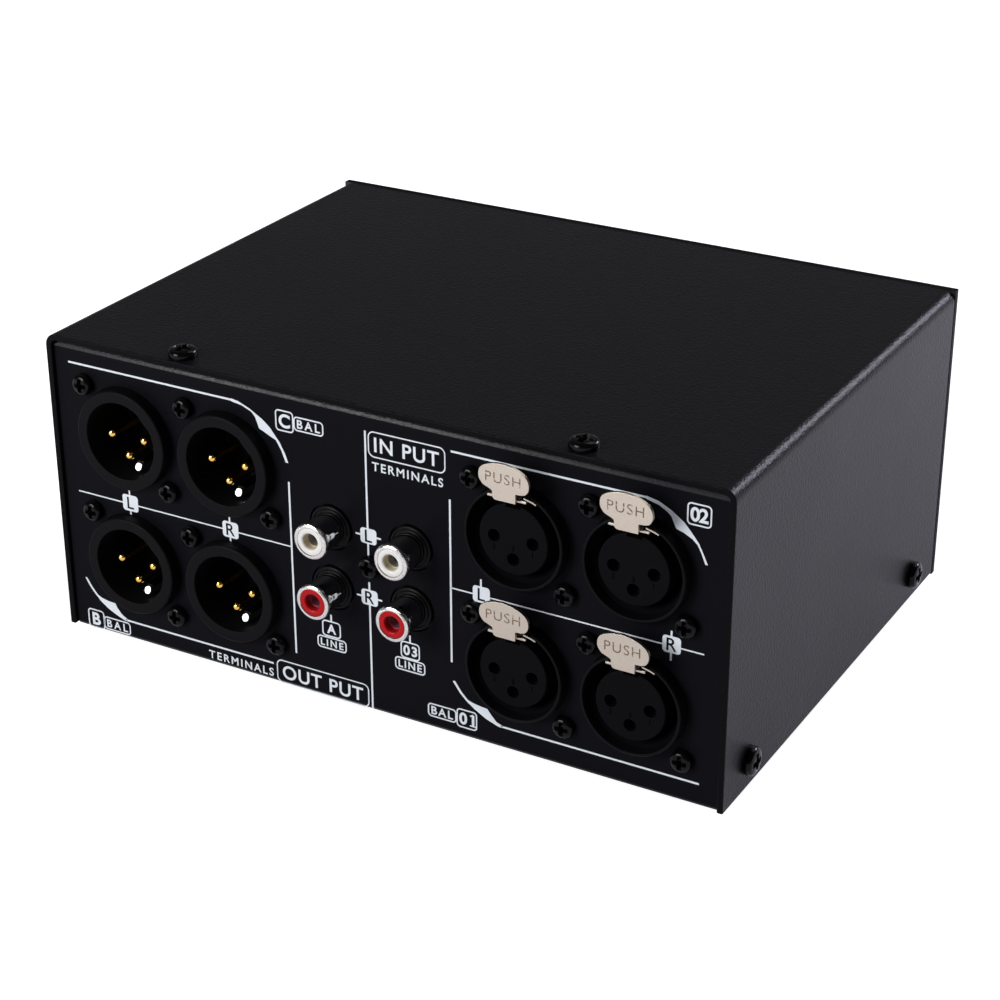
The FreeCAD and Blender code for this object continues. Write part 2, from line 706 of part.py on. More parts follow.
def output_socket(name, x, z):
    """A deep black cup with a broad ring; pins and a ground tongue stand in its floor."""
    body = new_body(f"output_socket_{name}", x, rear_y, floor_z + z)
    turn(body, [
        (0, -size.socket_depth),
        (size.output_ring, -size.socket_depth),
        (size.output_ring, size.output_proud),
        (size.output_bore, size.output_proud),
        (size.output_bore, -size.output_floor),
        (0, -size.output_floor),
    ])
    dress(body, "Fillet", size.socket_edge, ring_at(size.output_ring, size.output_proud))
    socket_flange(body, (size.output_ring + size.output_bore) / 2)
    holes = new_sketch(body, "XZ_Plane", size.output_floor)
    for dx, dz in PIN_PLACES:
        draw_circle(holes, dx, dz, size.tail_radius + size.fit_gap)
    half = size.tab_width / 2 + size.fit_gap
    draw_rectangle(
        holes,
        -size.tab_x - half,
        half - size.tab_x,
        -size.tab_z - size.tab_sheet / 2 - size.fit_gap,
        size.tab_sheet / 2 + size.fit_gap - size.tab_z,
    )
    cut(body, holes, size.socket_depth, along_normal=True)


def input_socket(name, x, z):
    """A rim with a funnel mouth, and a notch and a channel at its top for the latch."""
    body = new_body(f"input_socket_{name}", x, rear_y, floor_z + z)
    turn(body, [
        (0, -size.socket_depth),
        (size.input_rim, -size.socket_depth),
        (size.input_rim, size.input_proud),
        (size.input_mouth, size.input_proud),
        (size.input_bore, size.input_proud - size.input_funnel),
        (size.input_bore, -size.input_floor),
        (0, -size.input_floor),
    ])
    dress(body, "Fillet", size.socket_edge, ring_at(size.input_rim, size.input_proud))
    socket_flange(body, (size.input_rim + size.input_bore) / 2)
    channel = new_sketch(body, "XZ_Plane", -size.input_proud)
    half = size.latch_stem / 2 + size.latch_gap
    draw_rectangle(
        channel,
        -half,
        half,
        size.latch_level - size.latch_gap,
        size.input_rim + size.latch_gap,
    )
    cut(body, channel, size.input_proud + size.channel_depth, along_normal=True)
    notch = new_sketch(body, "XZ_Plane", -size.input_proud)
    half = size.latch_bar / 2 + size.latch_gap
    draw_rectangle(
        notch,
        -half,
        half,
        size.latch_level - size.latch_gap,
        size.input_rim + size.latch_gap,
    )
    bar_back = size.latch_bar_proud - size.latch_sheet
    room = size.latch_travel + size.latch_gap
    cut(body, notch, size.input_proud - bar_back + room, along_normal=True)
    tails = new_sketch(body, "XZ_Plane", size.input_floor)
    for dx, dz in PIN_PLACES:
        draw_circle(tails, dx, dz, size.tail_radius + size.fit_gap)
    cut(body, tails, size.socket_depth, along_normal=True)


def input_insert(name, x, z):
    """The round insert that holds the contacts, with a key notch at its top."""
    body = new_body(f"input_insert_{name}", x, rear_y, floor_z + z)
    face = new_sketch(body, "XZ_Plane", -size.insert_proud)
    draw_circle(face, 0, 0, size.insert_radius)
    for dx, dz in PIN_PLACES:
        draw_circle(face, dx, dz, size.insert_hole)
    pad(body, face, size.insert_proud + size.input_floor)
    notch = new_sketch(body, "XZ_Plane", -size.insert_proud)
    half = size.key_width / 2
    draw_rectangle(
        notch, -half, half, size.insert_radius - size.key_depth, size.insert_radius + half
    )
    cut(body, notch, size.key_length, along_normal=True)


def input_latch(name, x, z):
    """A thumb plate in front of the rim, on a stem that slides in the socket's channel."""
    body = new_body(f"input_latch_{name}", x, rear_y, floor_z + z)
    half = size.latch_width / 2
    top = size.latch_low + size.latch_height
    plate = new_sketch(body, "XZ_Plane", -size.latch_proud)
    draw_rectangle(plate, -half, half, size.latch_low, top)
    pad(body, plate, size.latch_sheet)
    corners = [(x, 0, z) for x in (-half, half) for z in (size.latch_low, top)]
    dress(body, "Fillet", size.latch_corner, straight_along(Y_AXIS, corners))
    stem = new_sketch(body, "XZ_Plane", -size.latch_proud)
    half = size.latch_stem / 2
    draw_rectangle(stem, -half, half, size.latch_level, size.latch_low + size.latch_sheet)
    pad(body, stem, size.latch_sheet)
    slide = new_sketch(body, "XZ_Plane", -size.latch_proud)
    draw_rectangle(slide, -half, half, size.latch_level, size.latch_level + size.latch_sheet)
    pad(body, slide, size.latch_proud + size.latch_reach)
    bar = new_sketch(body, "XZ_Plane", -size.latch_bar_proud)
    half = size.latch_bar / 2
    draw_rectangle(bar, -half, half, size.latch_level, size.latch_level + size.latch_bar_height)
    pad(body, bar, size.latch_sheet)


def latch_spring(name, x, z):
    """The spring between the slide's end and the channel's end."""
    body = new_body(f"latch_spring_{name}", x, rear_y, floor_z + z)
    level = size.latch_level + size.latch_sheet / 2
    face = new_sketch(body, "XZ_Plane", size.latch_reach)
    draw_circle(face, 0, level, size.spring_radius)
    draw_circle(face, 0, level, size.spring_bore)
    pad(body, face, size.channel_depth - size.latch_reach)


def socket_contents():
    pin = new_body("output_pin_form", kept=False)
    turn(pin, [
        (0, -board_y),
        (size.tail_radius, -board_y),
        (size.tail_radius, -size.output_floor),
        (size.pin_radius, -size.output_floor),
        (size.pin_radius, size.pin_proud - size.pin_point),
        (size.pin_radius * 0.75, size.pin_proud - size.pin_point * 0.35),
        (size.pin_radius * 0.4, size.pin_proud),
        (0, size.pin_proud),
    ])
    copies("output_pins", pin, [
        (x + dx, rear_y, floor_z + z + dz, FACING_REAR)
        for x, z in OUTPUT_SOCKETS.values()
        for dx, dz in PIN_PLACES
    ])

    tab = new_body("ground_tab_form", kept=False)
    side = new_sketch(tab, "YZ_Plane")
    top = size.tab_sheet / 2
    low = top - size.tab_nose
    nose_back = -size.tab_depth - size.tab_sheet
    draw_outline(side, [
        (-board_y, -top), (nose_back, -top), (nose_back, low),
        (-size.tab_depth, low), (-size.tab_depth, top), (-board_y, top),
    ])
    pad(tab, side, size.tab_width, both_ways=True)
    dress(tab, "Fillet", size.tab_bend, straight_along(X_AXIS, [(0, -size.tab_depth, top)]))
    copies("output_ground_tabs", tab, [
        (x - size.tab_x, rear_y, floor_z + z - size.tab_z, FACING_REAR)
        for x, z in OUTPUT_SOCKETS.values()
    ])

    contact = new_body("input_contact_form", kept=False)
    mouth = size.insert_proud - size.contact_recess
    turn(contact, [
        (size.contact_bore, mouth),
        (size.contact_radius, mouth),
        (size.contact_radius, -size.input_floor),
        (size.tail_radius, -size.input_floor),
        (size.tail_radius, -board_y),
        (0, -board_y),
        (0, size.contact_bore - size.input_floor),
        (size.contact_bore, size.contact_bore - size.input_floor),
    ])
    copies("input_contacts", contact, [
        (x + dx, rear_y, floor_z + z + dz, FACING_REAR)
        for x, z in INPUT_SOCKETS.values()
        for dx, dz in PIN_PLACES
    ])


def socket_fasteners():
    form = screw(
        "socket_screw_form",
        size.socket_screw_head,
        size.socket_screw_dome,
        size.socket_screw_radius,
        size.socket_screw_length,
    )
    for label, sockets in (("output", OUTPUT_SOCKETS), ("input", INPUT_SOCKETS)):
        copies(f"{label}_socket_screws", form, [
            (x + dx, rear_y, floor_z + z + dz, FACING_REAR)
            for x, z in sockets.values()
            for dx, dz in SCREW_PLACES
        ])
    long_form = screw(
        "phono_screw_form",
        size.socket_screw_head,
        size.socket_screw_dome,
        size.socket_screw_radius,
        size.phono_screw_length,
    )
    level = floor_z + size.phono_level + size.phono_screw_lift
    copies("phono_block_screw", long_form, [(0, rear_y, level, FACING_REAR)])


# Phono jacks


def phono_block():
    """The black block behind the panel, with a collar and a seat for each jack."""
    body = new_body("phono_block", 0, rear_y, floor_z)
    half = size.phono_block_width / 2
    tall = size.phono_block_height / 2
    back = new_sketch(body, "XZ_Plane", size.chassis_sheet)
    draw_rectangle(back, -half, half, size.phono_level - tall, size.phono_level + tall)
    pad(body, back, size.phono_block_depth)
    collars = new_sketch(body, "XZ_Plane", -size.phono_boss_proud)
    for x, z in PHONO_JACKS.values():
        draw_circle(collars, x, z, size.phono_boss)
    pad(body, collars, size.phono_boss_proud + 2 * size.chassis_sheet)
    seats = new_sketch(body, "XZ_Plane", -size.phono_boss_proud)
    for x, z in PHONO_JACKS.values():
        draw_circle(seats, x, z, size.barrel_radius + size.fit_gap)
    cut(body, seats, size.phono_boss_proud + size.phono_bore, along_normal=True)
    tails = new_sketch(body, "XZ_Plane", size.phono_bore)
    for x, z in PHONO_JACKS.values():
        draw_circle(tails, x, z, size.tail_radius + size.fit_gap)
    cut(body, tails, size.socket_depth, along_normal=True)
    thread = new_sketch(body, "XZ_Plane", size.chassis_sheet)
    level = size.phono_level + size.phono_screw_lift
    draw_circle(thread, 0, level, size.socket_screw_radius + size.thread_gap)
    cut(body, thread, size.phono_screw_length, along_normal=True)


def phono_shell(name, x, z):
    """A jack's barrel, with the lip that a plug's sleeve snaps over."""
    body = new_body(f"phono_shell_{name}", x, rear_y, floor_z + z)
    bore = size.insulator_radius + size.fit_gap
    step = size.barrel_reach - size.lip_length
    turn(body, [
        (bore, -size.phono_bore),
        (size.barrel_radius, -size.phono_bore),
        (size.barrel_radius, step),
        (size.lip_radius, step),
        (size.lip_radius, size.barrel_reach),
        (bore, size.barrel_reach),
    ])
    dress(body, "Fillet", size.insulator_recess * 2, ring_at(size.lip_radius, size.barrel_reach))


def phono_contents():
    face = size.barrel_reach - size.insulator_recess
    mouth = size.barrel_reach - size.sleeve_depth
    pocket = size.sleeve_radius + size.fit_gap
    insulator = new_body("phono_insulator_form", kept=False)
    turn(insulator, [
        (pocket, -size.phono_bore),
        (size.insulator_radius, -size.phono_bore),
        (size.insulator_radius, face),
        (size.insulator_hole, face),
        (size.insulator_hole, mouth),
        (pocket, mouth),
    ])
    for colour, level in (("white", phono_upper), ("red", phono_lower)):
        copies(f"phono_insulators_{colour}", insulator, [
            (x, rear_y, floor_z + level, FACING_REAR)
            for x in (size.phono_column, -size.phono_column)
        ])
    sleeve = new_body("phono_contact_form", kept=False)
    inside = size.sleeve_room - size.phono_bore
    turn(sleeve, [
        (size.sleeve_bore, mouth),
        (size.sleeve_radius, mouth),
        (size.sleeve_radius, -size.phono_bore),
        (size.tail_radius, -size.phono_bore),
        (size.tail_radius, -board_y),
        (0, -board_y),
        (0, inside),
        (size.sleeve_room, inside),
        (size.sleeve_room, mouth - size.sleeve_grip),
        (size.sleeve_bore, mouth - size.sleeve_grip),
    ])
    copies("phono_contacts", sleeve, [
        (x, rear_y, floor_z + z, FACING_REAR) for x, z in PHONO_JACKS.values()
    ])


# Boards and cables


def connector_board():
    """The upright board that carries every socket by its solder tails."""
    body = new_body("connector_board", 0, rear_y, floor_z)
    face = new_sketch(body, "XZ_Plane", board_y)
    half = size.board_width / 2
    tall = size.board_height / 2
    draw_rectangle(face, -half, half, size.socket_level - tall, size.socket_level + tall)
    pad(body, face, size.board_thickness)


def ribbon_headers():
    body = new_body("ribbon_headers", 0, rear_y, floor_z, many=True)
    face = new_sketch(body, "XZ_Plane", board_y + size.board_thickness)
    half = size.header_width / 2
    low = size.header_level - size.header_height / 2
    for x in DIALS.values():
        draw_rectangle(face, x - half, x + half, low, low + size.header_height)
    pad(body, face, size.header_depth)


def ribbon_cable(name, x, case_depth):
    """A flat cable from its header on the board down to the back of its control."""
    body = new_body(f"{name}_ribbon_cable", x, rear_y, floor_z)
    start = -board_y - size.board_thickness - size.header_depth
    end = size.chassis_sheet + case_depth - inner_depth
    top = size.header_level + size.ribbon_sheet / 2
    route = [
        (start, top),
        (start - size.ribbon_straight, top),
        (end + size.ribbon_straight, top - size.ribbon_drop),
        (end, top - size.ribbon_drop),
    ]
    under = [(y, z - size.ribbon_sheet) for y, z in route]
    profile = new_sketch(body, "YZ_Plane")
    draw_outline(profile, route + under[::-1])
    pad(body, profile, size.ribbon_width, both_ways=True)
    first, second = [(0, y, z) for y, z in route[1:3]]
    first_under, second_under = [(0, y, z) for y, z in under[1:3]]
    outside = size.ribbon_bend + size.ribbon_sheet
    dress(body, "Fillet", outside, straight_along(X_AXIS, [first, second_under]))
    dress(body, "Fillet", size.ribbon_bend, straight_along(X_AXIS, [first_under, second]))


# Controls


def control_case(label, x, depth, draw_section):
    """A control's case behind the front wall, with its threaded bush and bearing."""
    body = new_body(label, x, front_y, floor_z + size.dial_level)
    wall = size.plate_thickness + size.chassis_sheet
    section = new_sketch(body, "XZ_Plane", -wall - depth)
    draw_section(section)
    pad(body, section, depth)
    bush = new_sketch(body, "XZ_Plane", -wall - size.chassis_sheet)
    draw_circle(bush, 0, 0, size.bush_radius)
    pad(body, bush, wall + size.chassis_sheet + size.bush_reach)
    bore = new_sketch(body, "XZ_Plane", size.bush_reach)
    draw_circle(bore, 0, 0, size.shaft_radius + size.running_gap)
    cut(body, bore, size.bush_reach + wall + size.shaft_bearing + size.latch_gap)


def draw_square_case(sketch):
    half = size.volume_case_width / 2
    draw_rectangle(sketch, -half, half, -half, half)


def draw_round_case(sketch):
    draw_circle(sketch, 0, 0, size.switch_case_radius)


def control_shaft(label, x):
    """A round shaft with a flat on its upper side for the grub screw."""
    body = new_body(label, x, front_y, floor_z + size.dial_level)
    inner = size.plate_thickness + size.chassis_sheet + size.shaft_bearing
    turn(body, [
        (0, -size.shaft_reach),
        (size.shaft_radius, -size.shaft_reach),
        (size.shaft_radius, inner),
        (0, inner),
    ])
    flat = new_sketch(body, "XZ_Plane", size.shaft_reach)
    low = size.shaft_radius - size.shaft_flat
    draw_rectangle(flat, -size.shaft_radius, size.shaft_radius, low, 2 * size.shaft_radius)
    cut(body, flat, size.shaft_flat_length)


def knob(label, x, radius, depth):
    """A turned knob, hollow behind for nut and bush, with a pointer groove in its face."""
    body = new_body(label, x, front_y, floor_z + size.dial_level)
    face = -size.knob_gap - depth
    recess = -size.knob_gap - size.knob_recess_depth
    bore = size.shaft_radius + size.fit_gap
    bore_end = -size.shaft_reach - size.fit_gap
    turn(body, [
        (0, face),
        (radius, face),
        (radius, -size.knob_gap),
        (size.knob_recess, -size.knob_gap),
        (size.knob_recess, recess),
        (bore, recess),
        (bore, bore_end),
        (0, bore_end),
    ])
    dress(body, "Fillet", size.knob_rounding, ring_at(radius, face))
    groove = new_sketch(body, "XZ_Plane", size.knob_gap + depth)
    half = size.pointer_width / 2
    outer = radius - size.pointer_inset
    draw_rectangle(groove, -half, half, outer - size.pointer_length, outer)
    cut(body, groove, size.pointer_depth)
    thread = new_sketch(body, "XY_Plane")
    draw_circle(thread, 0, -size.grub_place, size.grub_radius + size.thread_gap)
    cut(body, thread, radius + size.knob_rounding, along_normal=True)


def hexagon(sketch, x, y, flats):
    """A hexagon with two corners on its horizontal axis."""
    side = flats / 3 ** 0.5
    half = flats / 2
    draw_outline(sketch, [
        (x + side, y), (x + side / 2, y + half), (x - side / 2, y + half),
        (x - side, y), (x - side / 2, y - half), (x + side / 2, y - half),
    ])


def grub_screw(label, x):
    """A headless screw that presses on the shaft's flat."""
    body = new_body(label, x, front_y, floor_z + size.dial_level)
    seat = size.shaft_radius - size.shaft_flat
    end = new_sketch(body, "XY_Plane", seat)
    draw_circle(end, 0, -size.grub_place, size.grub_radius)
    pad(body, end, size.grub_length)
    key = new_sketch(body, "XY_Plane", seat + size.grub_length)
    hexagon(key, MIDDLE, -size.grub_place, size.grub_hexagon)
    cut(body, key, size.grub_length / 2)


def dial_fasteners():
    washer = new_body("dial_washer_form", kept=False)
    face = new_sketch(washer, "XZ_Plane")
    draw_circle(face, 0, 0, size.washer_radius)
    draw_circle(face, 0, 0, size.bush_radius + size.hole_gap)
    pad(washer, face, size.washer_thickness)
    nut = new_body("dial_nut_form", kept=False)
    face = new_sketch(nut, "XZ_Plane", size.washer_thickness)
    hexagon(face, MIDDLE, MIDDLE, size.nut_flats)
    draw_circle(face, 0, 0, size.bush_radius + size.thread_gap)
    pad(nut, face, size.nut_thickness)
    places = [
        (x, front_y, floor_z + size.dial_level, FACING_REAR) for x in DIALS.values()
    ]
    copies("dial_washers", washer, places)
    copies("dial_nuts", nut, places)


base_chassis()
top_cover()
front_panel()
case_fasteners()
feet()
for name, (x, z) in OUTPUT_SOCKETS.items():
    output_socket(name, x, z)
for name, (x, z) in INPUT_SOCKETS.items():
    input_socket(name, x, z)
    input_insert(name, x, z)
    input_latch(name, x, z)
    latch_spring(name, x, z)
socket_contents()
socket_fasteners()
phono_block()
for name, (x, z) in PHONO_JACKS.items():
    phono_shell(name, x, z)
phono_contents()
connector_board()
ribbon_headers()
for name, x in DIALS.items():
    if name == "volume":
        case_depth = size.volume_case_depth
        control_case("volume_control_case", x, case_depth, draw_square_case)
        knob("volume_knob", x, size.volume_knob_radius, size.volume_knob_depth)
    else:
        case_depth = size.switch_case_depth
        control_case(f"{name}_switch_case", x, case_depth, draw_round_case)
        knob(f"{name}_knob", x, size.selector_knob_radius, size.selector_knob_depth)
    ribbon_cable(name, x, case_depth)
    control_shaft(f"{name}_shaft", x)
    grub_screw(f"{name}_grub_screw", x)
dial_fasteners()

document.recompute()
for thing in document.Objects:
    if "Invalid" in thing.State or "Error" in thing.State:
        raise RuntimeError(f"{thing.Name} in {thing.Label} failed")
for piece in pieces:
    if piece.Shape.isNull() or not piece.Shape.isValid() or not piece.Shape.Solids:
        raise RuntimeError(f"{piece.Label} has no valid shape")

os.makedirs("parts", exist_ok=True)
for piece in pieces:
    piece.Shape.exportStep(f"parts/{piece.Label}.step")
    print(f"{piece.Label}: {len(piece.Shape.Solids)} solids, {piece.Shape.Volume:.1f} mm3")
print(f"{len(pieces)} pieces")
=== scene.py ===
import math

import bmesh
import bpy
from mathutils import Matrix, Quaternion, Vector


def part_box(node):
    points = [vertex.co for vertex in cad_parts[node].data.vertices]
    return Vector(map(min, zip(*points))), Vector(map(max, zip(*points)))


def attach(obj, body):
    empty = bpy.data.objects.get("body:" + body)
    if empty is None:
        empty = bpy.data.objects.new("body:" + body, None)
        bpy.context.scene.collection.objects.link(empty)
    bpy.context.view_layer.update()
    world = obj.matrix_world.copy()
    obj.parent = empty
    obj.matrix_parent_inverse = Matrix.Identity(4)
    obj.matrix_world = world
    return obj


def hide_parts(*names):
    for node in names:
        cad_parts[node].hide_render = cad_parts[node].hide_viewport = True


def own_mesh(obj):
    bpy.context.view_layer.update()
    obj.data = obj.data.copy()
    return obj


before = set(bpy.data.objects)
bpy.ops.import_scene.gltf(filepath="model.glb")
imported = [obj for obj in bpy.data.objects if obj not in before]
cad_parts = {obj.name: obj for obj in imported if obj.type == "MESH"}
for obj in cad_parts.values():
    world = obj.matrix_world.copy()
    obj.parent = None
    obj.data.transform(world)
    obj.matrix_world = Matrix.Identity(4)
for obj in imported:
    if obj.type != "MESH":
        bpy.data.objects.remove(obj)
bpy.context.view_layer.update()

# Forms are drawn in millimetres round their own axis, with Y out of the rear panel, and become
# metres when they are set on the case. X+ is the left of the rear panel as one faces it.
MM = 0.001


def box_mm(node):
    low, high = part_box(node)
    return low / MM, high / MM


def axis_mm(node):
    """The X and Z of a node's middle, which is the axis of a socket, jack or dial."""
    low, high = box_mm(node)
    return (low.x + high.x) / 2, (low.z + high.z) / 2


REAR = box_mm("base_chassis")[1].y
FLOOR = box_mm("base_chassis")[0].z
FRONT = box_mm("front_panel")[0].y

OUTPUTS = {name: axis_mm(f"output_socket_{name}") for name in ("c_left", "c_right", "b_left", "b_right")}
INPUTS = {name: axis_mm(f"input_socket_{name}") for name in ("2_left", "2_right", "1_left", "1_right")}
JACKS = {
    name: axis_mm(f"phono_shell_{name}")
    for name in ("output_left", "output_right", "input_left", "input_right")
}
DIALS = {name: axis_mm(f"{name}_knob") for name in ("input", "volume", "output")}

# The two screws of a round socket, and its three pins or contacts, from its axis.
SCREWS = ((11.8, 11.5), (-11.8, -11.5))
CONTACTS = ((4.8, 0), (-4.8, 0), (0, -4.8))

PANEL_SHEET = 1.2
THUMB_FACE = 7.4

TOWARDS_REAR = Matrix.Identity(4)
TOWARDS_FRONT = Matrix.Rotation(math.pi, 4, "Z")
UPWARDS = Matrix.Rotation(math.pi / 2, 4, "X")
DOWNWARDS = Matrix.Rotation(-math.pi / 2, 4, "X")
TOWARDS_LEFT = Matrix.Rotation(-math.pi / 2, 4, "Z")
TOWARDS_RIGHT = Matrix.Rotation(math.pi / 2, 4, "Z")


# Shader nodes


def add_node(tree, kind, values=None, **settings):
    """A shader node with its settings, and its inputs set or linked by name or number."""
    node = tree.nodes.new(kind)
    for setting, value in settings.items():
        setattr(node, setting, value)
    for socket, value in (values or {}).items():
        if isinstance(value, bpy.types.NodeSocket):
            tree.links.new(value, node.inputs[socket])
        else:
            node.inputs[socket].default_value = value
    return node


def compute(tree, operation, *values):
    """The outcome of a Math node."""
    return add_node(tree, "ShaderNodeMath", dict(enumerate(values)), operation=operation).outputs[0]


def ramp(tree, value, start, end, low=0.0, high=1.0):
    """Goes from low to high while the value goes from start to end, and no further."""
    return add_node(tree, "ShaderNodeMapRange", {
        "Value": value, "From Min": start, "From Max": end, "To Min": low, "To Max": high,
    }).outputs["Result"]


def noise(tree, place, scale, detail=2.0, roughness=0.5):
    return add_node(tree, "ShaderNodeTexNoise", {
        "Vector": place, "Scale": scale, "Detail": detail, "Roughness": roughness,
    }).outputs["Fac"]


def blend(tree, share, first, second):
    """The first colour where the share is 0, and the second where it is 1."""
    return add_node(tree, "ShaderNodeMix", {
        0: share, 6: (*first, 1.0), 7: (*second, 1.0),
    }, data_type="RGBA").outputs[2]


def axes(tree, place):
    """A place's outputs X, Y and Z."""
    return add_node(tree, "ShaderNodeSeparateXYZ", {0: place}).outputs


VECTOR = "NodeSocketVector"
FLOAT = "NodeSocketFloat"


def new_group(name, inputs, outputs):
    """An empty node group, what is given to it, and its result, which is one or more numbers."""
    group = bpy.data.node_groups.new(name, "ShaderNodeTree")
    for label, kind in inputs.items():
        group.interface.new_socket(label, in_out="INPUT", socket_type=kind)
    for label in outputs:
        group.interface.new_socket(label, in_out="OUTPUT", socket_type=FLOAT)
    given = group.nodes.new("NodeGroupInput").outputs
    return group, given, group.nodes.new("NodeGroupOutput").inputs


def in_grains(group, given):
    """The group's place, counted in grains of its size in millimetres."""
    scale = compute(group, "DIVIDE", 1 / MM, given["Size mm"])
    return add_node(group, "ShaderNodeVectorMath", {
        0: given["Place"], "Scale": scale,
    }, operation="SCALE").outputs[0]


def grain_group():
    """Pebbled grain of powder coat and moulded plastic, with a slow change of tone."""
    group, given, result = new_group(
        "surface_grain", {"Place": VECTOR, "Size mm": FLOAT}, ["Height", "Tone"]
    )
    fine = in_grains(group, given)
    pebbles = add_node(group, "ShaderNodeTexVoronoi", {
        "Vector": fine, "Scale": 1.0, "Smoothness": 0.6,
    }, feature="SMOOTH_F1")
    height = add_node(group, "ShaderNodeMix", {
        "Factor": 0.6, "A": pebbles.outputs["Distance"], "B": noise(group, fine, 0.9, 3.0, 0.6),
    }, data_type="FLOAT")
    group.links.new(height.outputs["Result"], result["Height"])
    group.links.new(noise(group, given["Place"], 28.0), result["Tone"])
    return group


def brushing_group():
    """Fine lines of brushed, drawn or turned metal: long along the axes with a small scale."""
    group, given, result = new_group(
        "brushing", {"Place": VECTOR, "Lines": VECTOR}, ["Height", "Tone"]
    )
    drawn = add_node(group, "ShaderNodeVectorMath", {
        0: given["Place"], 1: given["Lines"],
    }, operation="MULTIPLY")
    group.links.new(noise(group, drawn.outputs[0], 1.0, 4.0, 0.7), result["Height"])
    group.links.new(noise(group, given["Place"], 90.0), result["Tone"])
    return group


def specks_group():
    """Scattered small specks of dust, tarnish and tiny pits."""
    group, given, result = new_group(
        "specks", {"Place": VECTOR, "Size mm": FLOAT, "Amount": FLOAT}, ["Mask"]
    )
    cells = noise(group, in_grains(group, given), 1.0)
    edge = compute(group, "SUBTRACT", 0.75, given["Amount"])
    inside = compute(group, "ADD", edge, 0.12)
    group.links.new(ramp(group, cells, edge, inside), result["Mask"])
    return group


GRAIN = grain_group()
BRUSHING = brushing_group()
SPECKS = specks_group()


class Finish:
    """A material with one Principled shader, whose patterns stand in Object coordinates."""

    def __init__(self, name, colour, roughness, metallic=0.0, **constants):
        self.material = bpy.data.materials.new(name)
        self.material.use_nodes = True
        self.tree = self.material.node_tree
        self.shader = self.tree.nodes["Principled BSDF"]
        self.place = add_node(self.tree, "ShaderNodeTexCoord").outputs["Object"]
        self.colour = colour
        self.roughness = roughness
        self.set("Base Color", (*colour, 1.0))
        self.set("Roughness", roughness)
        self.set("Metallic", metallic)
        for socket, value in constants.items():
            self.set(socket.replace("_", " "), value)

    def set(self, socket, value):
        self.shader.inputs[socket].default_value = value

    def link(self, output, socket):
        self.tree.links.new(output, self.shader.inputs[socket])

    def pattern(self, group, **values):
        """The outputs of a node group at this material's place."""
        node = add_node(self.tree, "ShaderNodeGroup", node_tree=group)
        self.tree.links.new(self.place, node.inputs["Place"])
        for socket, value in values.items():
            node.inputs[socket.replace("_", " ")].default_value = value
        return node.outputs

    def relief(self, height, depth_mm):
        """Bump from a height, in millimetres of depth."""
        bump = add_node(self.tree, "ShaderNodeBump", {
            "Strength": 1.0, "Distance": depth_mm * MM, "Height": height,
        })
        self.link(bump.outputs["Normal"], "Normal")

    def vary_roughness(self, tone, spread):
        """Roughness that strays from its own value by up to twice the spread."""
        smoothest = max(self.roughness - 2 * spread, 0.02)
        roughest = self.roughness + 2 * spread
        self.link(ramp(self.tree, tone, 0.1, 0.9, smoothest, roughest), "Roughness")

    def blend_colour(self, mask, other):
        """Base colour that goes over into another one where the mask is 1."""
        self.link(blend(self.tree, mask, self.colour, other), "Base Color")


def grained(
    name, colour, other, roughness, grain_mm=0.3, depth_mm=0.004, spread=0.05, specular=0.5, **constants,
):
    """Powder coat, moulded plastic or rubber: pebbled grain and a slow change of tone."""
    finish = Finish(name, colour, roughness, Specular_IOR_Level=specular, **constants)
    grain = finish.pattern(GRAIN, Size_mm=grain_mm)
    finish.blend_colour(grain["Height"], other)
    finish.vary_roughness(grain["Tone"], spread)
    finish.relief(grain["Height"], depth_mm)
    return finish.material


def brushed(name, colour, other, roughness, lines, depth_mm, metallic=1.0, spread=0.08):
    """Metal with fine lines and a slow change of tone."""
    finish = Finish(name, colour, roughness, metallic)
    brush = finish.pattern(BRUSHING, Lines=lines)
    finish.blend_colour(brush["Tone"], other)
    finish.vary_roughness(brush["Height"], spread)
    finish.relief(brush["Height"], depth_mm)
    return finish.material


def speckled(name, colour, other, roughness, size_mm, amount, raised_mm=-0.01):
    """Plated metal with sunk specks of tarnish."""
    finish = Finish(name, colour, roughness, metallic=1.0)
    specks = finish.pattern(SPECKS, Size_mm=size_mm, Amount=amount)
    grain = finish.pattern(GRAIN, Size_mm=size_mm * 3)
    finish.blend_colour(specks["Mask"], other)
    finish.vary_roughness(grain["Tone"], roughness * 0.4)
    finish.relief(specks["Mask"], raised_mm)
    return finish.material


COVER_POWDER = grained(
    "cover_powder", (0.0012, 0.0012, 0.0014), (0.0095, 0.0092, 0.0108),
    roughness=0.305, grain_mm=0.6, depth_mm=0.15, spread=0.015, specular=0.08,
)
# Painted shade: a darker copy of the paint with little shine, for the cover's rear-facing cut edge and
# the front panel's edges, so they stay dark instead of mirroring the bright floor.
EDGE_PAINTED_SHADE = grained(
    "edges_painted_shade", (0.002, 0.002, 0.0026), (0.003, 0.003, 0.0037),
    roughness=0.5, grain_mm=0.5, depth_mm=0.02, specular=0.04,
)
PANEL_PAINT = grained(
    "panel_paint", (0.0024, 0.0024, 0.0037), (0.0042, 0.0042, 0.0061),
    roughness=0.5, grain_mm=0.4, depth_mm=0.016, specular=0.036,
)
